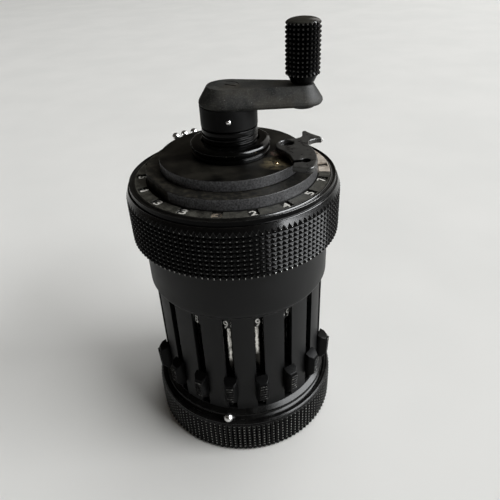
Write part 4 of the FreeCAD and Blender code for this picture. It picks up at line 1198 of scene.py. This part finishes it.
def dials():
    white, dark = digit_set(*RESULT_DIGIT), digit_set(*COUNTER_DIGIT)
    for number in range(1, RESULT_DIALS + 1):
        worn = number == WORN_DIAL
        form = dial_digits(white, result_place(number), SHOWN_RESULT[number - 1])
        add_piece("result_digits_%02d" % number, form, [DIGIT_DARK if worn else DIGIT_WHITE],
                  "result_%d" % number, "dial_black", sharp=60.0)
        dress("result_dial_%02d" % number, DIAL_WORN if worn else DIAL_BLACK)
    for number in range(1, COUNTER_DIALS + 1):
        form = dial_digits(dark, counter_place(number), (3 * number + 1) % 10)
        add_piece("counter_digits_%d" % number, form, [DIGIT_DARK], "counter_%d" % number,
                  "dial_pale", sharp=60.0)
        dress("counter_dial_%d" % number, DIAL_PALE)


def rollers():
    digits = digit_set(*ROLLER_DIGIT)
    for number, turn in enumerate(ROLLER_TURNS, 1):
        form = roller_digits(digits, result_place(number), turn)
        add_piece("roller_digits_%d" % number, form, [ROLLER_WHITE], "shaft_%d" % number,
                  "bright_steel", sharp=60.0)
        dress("setting_shaft_%d" % number, PAINTED_GLINT_ROLLERS.get(number, ROLLER))


# Sleeve, tube, disc and lever

def sleeve():
    outline = soften([
        (5.27, 62.0), (6.6, 62.0), (6.6, 73.0), (9.4, 73.0), (9.4, 74.5), (8.2, 74.5), (8.2, 79.6),
        (9.35, 79.6), (9.35, 80.4), (9.08, 80.5), (9.3, 80.85, 0.6), (9.62, 81.6, 1.2),
        (9.45, 82.4, 1.2), (8.6, 82.85, 2.0), (7.05, 82.92), (6.97, 82.85), (6.95, 76.9), (5.27, 76.9),
    ], 0.07, 4)
    add_piece("carriage_collar", Form().lathe(outline, 144), [COLLAR], "sleeve", "ledge_black",
              "carriage_sleeve", sharp=40.0)


def grooved_tube():
    form = Form().lathe(soften([
        (3.3, 55.0), (NECK_IN_R, 55.0), (NECK_IN_R, 58.4), (8.5, 58.4), (8.5, 59.6), (NECK_IN_R, 59.6),
        (NECK_IN_R, 80.05), (5.19, NECK_TOP), (3.06, NECK_TOP), (3.06, 82.0), (3.3, 82.0)], 0.05), 96)
    outline = [(NECK_IN_R, 80.0), (NECK_R, 80.0)]
    for z in NECK_GROOVES:
        outline += [(NECK_R, z - 0.3), (6.25, z - 0.08), (6.25, z + 0.08), (NECK_R, z + 0.3)]
    outline += [(NECK_R, NECK_TOP), (NECK_IN_R, NECK_TOP)]
    form.lathe(soften(outline, 0.12), 96, 1)
    add_piece("grooved_neck", form, [ALUMINIUM, NECK_BLACK], "root", "ledge_black", "central_tube",
              sharp=40.0)


def clearing_disc():
    z0, z1 = DISC
    form = Form().lathe(soften([(BORE_R, z0, 0.0), (DISC_R, z0), (DISC_R, z1, 0.22),
                                (BORE_R, z1, 0.0)], 0.12), 180)
    recess = Form().lathe([(0, z1 - 0.5), (RECESS_R - 0.1, z1 - 0.5), (RECESS_R, z1 + 1), (0, z1 + 1)],
                          40, at=RECESS, closed=False)
    add_piece("clearing_disc_plate", form, [DISC_BLACK], "disc", "cover_black", "clearing_disc",
              cutter=recess)
    form = Form().lathe(soften([(0, z0 + 0.5, 0), (1.0, z0 + 0.5), (1.0, 80.06), (1.6, 80.06),
                                (1.6, 80.35, 0.2), (0, 80.4, 0)], 0.05), 32, at=LEVER_PIVOT,
                        closed=False)
    add_piece("lever_pivot_screw", form, [COLLAR], "disc", "cover_black")
    form = Form().lathe([(0, z1 - 0.6), (0.45, z1 - 0.6), (0.45, z1), (0.4, z1 + 0.07),
                         (0.2, z1 + 0.1), (0, z1 + 0.1)], 24, at=PIN_SPOT, closed=False)
    form.lathe([(0, z1 - 0.3), (1.05, z1 - 0.3), (1.05, z1 - 0.05), (0.9, z1 + 0.05), (0, z1 + 0.09)],
               28, 1, PAD_SPOT, closed=False)
    add_piece("clearing_disc_rivets", form, [BRASS, DIAL_WORN], "disc", "bright_steel", sharp=35.0)


def lever_outline():
    """Clockwise from the inner shoulder: bow, forked end, long side, tip and back. An arc that
    doesn't start where the last one ends is joined to it by a straight line."""
    points = []
    for a, b, c, steps in (
            ((11.05, -3.7), (11.05, -0.1), (13.3, 2.05), 14),
            ((15.5, 2.1), (17.0, 2.9), (17.75, 4.3), 6), ((17.9, 6.3), (18.2, 7.0), (18.9, 7.0), 5),
            ((18.9, 7.0), (20.2, 4.8), (22.0, 2.65), 9), ((22.0, 1.4), (20.3, 1.2), (18.9, 0.0), 8),
            ((18.5, -2.5), (19.5, -8.4), (18.3, -14.6), 18),
            ((18.3, -14.6), (17.6, -15.6), (16.4, -15.7), 6),
            ((13.4, -14.7), (13.6, -9.2), (11.05, -3.7), 14)):
        if a in points:
            points.pop()
        points += arc(a, b, c, steps) + [c]
    return points[:-1]


def lever():
    z0, z1 = LEVER
    holes = [circle(*LEVER_PIVOT, 1.72, 36), circle(*LEVER_HOLE, LEVER_HOLE_R, 28)]
    piece = plate("clearing_lever_plate", lever_outline(), holes, z0, z1, 0.28, LEVER_BLACK)
    carve(piece, slot_cutter(-LEVER_MARK_L, 0.0, LEVER_MARK_W / 2, LEVER_MARK_TURN, LEVER_HOLE,
                             z1 - 0.95, z1 + 0.5), 35.0)
    place_piece(piece, "lever", "lever_black", "clearing_lever")
    x, y = LEVER_PRONG
    middle = (z0 + z1) / 2
    form = Form().loops([
        [(x + dx, y + r * math.cos(t), middle + r * math.sin(t)) for t in turns(20)]
        for dx, r in ((-0.4, 0.5), (-0.05, 0.64), (0.3, 0.62), (0.42, 0.5), (0.36, 0.2))])
    add_piece("lever_broken_end", form, [BROKEN_END], "lever", "bright_steel", sharp=40.0)


# Crank

def crank_hub():
    form = Form().lathe(soften([(3.0, HUB[0], 0.0), (HUB_R, HUB[0], 0.25), (HUB_R, HUB[1], 0.0),
                                (3.0, HUB[1], 0.0)], 0.1))
    sinks, domes = Form(), Form()
    for side in (-1, 1):
        sinks.pin(((0.95, HUB_R + 0.3), (0.72, HUB_R - 0.12), (0.7, HUB_R - 1.6)), CROSS_PIN_Z, 28,
                  side)
        domes.pin(((0.65, HUB_R - 1.7), (0.65, HUB_R - 0.3), (0.57, HUB_R - 0.12),
                   (0.36, HUB_R + 0.02), (0.12, HUB_R + 0.06)), CROSS_PIN_Z, 24, side)
    add_piece("crank_hub_body", form, [HUB_BLACK], "crank", "crank_charcoal", "crank_hub",
              cutter=sinks)
    add_piece("cross_pin", domes, [CHROME], "crank", "bright_steel", sharp=50.0)


def arm_loop(inset, z):
    """Outline of the arm: an arc round the hub and one round the knob, with straight sides."""
    big, small = ARM_HUB_R - inset, ARM_KNOB_R - inset
    kx, ky = KNOB_AT
    heading = math.atan2(ky, kx)
    lean = math.acos((big - small) / math.hypot(kx, ky))

    def round_end(cx, cy, r, first, turn, steps):
        angles = [first + turn * k / steps for k in range(steps + 1)]
        return [(cx + r * math.cos(a), cy + r * math.sin(a)) for a in angles]

    def straight(start, stop, steps=6):
        spots = [Vector(start).lerp(Vector(stop), k / steps) for k in range(1, steps)]
        return [(spot.x, spot.y) for spot in spots]

    hub_end = round_end(0, 0, big, heading + lean, 2 * math.pi - 2 * lean, 40)
    knob_end = round_end(kx, ky, small, heading - lean, 2 * lean, 24)
    return level(hub_end + straight(hub_end[-1], knob_end[0]) + knob_end
                 + straight(knob_end[-1], hub_end[0]), z)


def crank_arm():
    outline = soften([(3.5, 91.0, 0.0), (0.3, 91.0, 0.08), (0.0, 91.55, 0.1), (0.12, 92.1, 0.5),
                      (2.1, ARM_TOP, 0.18), (4.0, ARM_TOP, 0.0)], 0.1, 4)
    sink_r = SCREW_HEAD_R + 0.07
    sink = Form().lathe([(0, SCREW_SEAT), (sink_r, SCREW_SEAT), (sink_r, ARM_TOP - 0.08),
                         (SCREW_HEAD_R + 0.2, ARM_TOP + 0.4), (0, ARM_TOP + 0.4)], 48, closed=False)
    add_piece("crank_arm_body", Form().loops([arm_loop(inset, z) for inset, z in outline]),
              [CHARCOAL], "crank", "crank_charcoal", "crank_arm", cutter=sink, sharp=35.0)
    screw = Form().lathe(soften([(0, 89.3, 0), (1.2, 89.3), (1.2, SCREW_SEAT, 0),
                                 (SCREW_HEAD_R, SCREW_SEAT), (SCREW_HEAD_R, 95.13), (0, 95.16, 0)],
                                0.12), 48, closed=False)
    add_piece("arm_screw", screw, [CHARCOAL], "crank", "crank_charcoal",
              cutter=slot_cutter(-0.65, 2.45, 0.27, SCREW_TURN, (0, 0), 94.45, 96.0))
    spindle = Form().lathe(soften([(0, 90.05, 0), (2.9, 90.15, 0.5), (3.05, 91.05, 0), (1.25, 91.05, 0),
                                   (1.25, 105.0), (0, 105.0, 0)], 0.12), 40, at=KNOB_AT, closed=False)
    add_piece("knob_spindle", spindle, [HUB_BLACK], "crank", "crank_charcoal")


def crank_knob():
    bottom, top = KNOB
    form, root, foot = knurl(KNOB_R, KNOB_GROOVES, 24, 12, KNOB_ROWS, KNOB_LIP, 0.1)
    form.lathe([KNOB_LIP, (3.25, 108.2), (2.7, 108.42), (1.9, 108.6), (0.9, 108.68), (0.0, top),
                (0.0, 105.4), (1.31, 105.4), (1.31, bottom), (2.35, bottom), (2.5, bottom + 0.1),
                (2.62, bottom + 0.25), (root, foot)], 24, closed=False)
    form.points = [(x + KNOB_AT[0], y + KNOB_AT[1], z) for x, y, z in form.points]
    add_piece("crank_knob_grip", form, [KNOB_KNURL], "knob", "knob_black", "crank_knob", sharp=22.0)


def inner_pieces():
    """Frame and works seen through the slots and gaps."""
    for name in ("lower_bearing_plate", "upper_bearing_plate", "carriage_frame", "step_drum",
                 "tens_bell"):
        dress(name, ALUMINIUM)
    for name in ("frame_pillars", "transmission_axles", "main_shaft"):
        dress(name, STEEL)
    dress("base_cover", LEDGE)


# Floor, light and camera

def studio():
    near, far = PAPER_SEEN_R / MM, ROOM_R / MM
    for name, first, last, mirrored in (("floor", 0.0, near, True), ("far_floor", near, far, False)):
        rings = [(first + (last - first) * (k / 12) ** 2, -0.02) for k in range(13)]
        floor = make(name, Form().lathe(rings, 96, closed=False), [PAPER])
        floor.visible_glossy = mirrored

    dome = [(far * math.cos(a), far * math.sin(a) - 1.0) for a in
            [math.radians(90 * k / 12) for k in range(12)]]
    backdrop = make("backdrop", Form().lathe(dome, 96, closed=False), [BACKDROP])
    for ray in ("diffuse", "glossy", "transmission", "shadow"):
        setattr(backdrop, "visible_" + ray, False)

    world = bpy.data.worlds.new("room")
    bpy.context.scene.world = world
    world.use_nodes = True
    back = world.node_tree.nodes["Background"]
    back.inputs["Color"].default_value = (*ROOM_COLOUR, 1.0)
    back.inputs["Strength"].default_value = ROOM_GLOW
    area("window", *WINDOW_LIGHT).visible_diffuse = False
    area("back_of_room", *BACK_LIGHT).visible_diffuse = False
    area("sun_side", *SUN_SIDE_LIGHT).visible_glossy = False
    area("ceiling", *CEILING_LIGHT).visible_glossy = False


def area(name, place, rise, away, width, height, power, colour):
    """Rectangular light in the direction of a place, rise degrees above the floor."""
    light = bpy.data.lights.new(name, "AREA")
    light.shape = "RECTANGLE"
    light.size = width
    light.size_y = height
    light.energy = power
    light.color = colour
    lamp = add_object(name, light)
    climb = math.radians(rise)
    lamp.location = ring_point(away * math.cos(climb), place, away * math.sin(climb))
    lamp.rotation_euler = (-lamp.location).to_track_quat("-Z", "Y").to_euler()
    return lamp


def camera():
    """Camera that looks down by its pitch, rolled about its own axis."""
    lens = bpy.data.cameras.new("photo_view")
    lens.sensor_width = SENSOR
    lens.lens = FOCAL_PX / IMAGE * SENSOR
    lens.clip_start = 0.005
    view = add_object("photo_view", lens)
    view.matrix_world = (Matrix.Translation(Vector(CAMERA_AT) * MM)
                         @ Matrix.Rotation(math.pi / 2 - CAMERA_PITCH, 4, "X")
                         @ Matrix.Rotation(CAMERA_ROLL, 4, "Z"))
    bpy.context.scene.camera = view


base_ring()
marker_track()
barrel()
markers()
sliders()
reverser()
rollers()
carriage_ring()
cover()
dials()
sleeve()
grooved_tube()
clearing_disc()
lever()
crank_hub()
crank_arm()
crank_knob()
inner_pieces()
studio()
camera()

bpy.context.scene.view_settings.view_transform = "Standard"
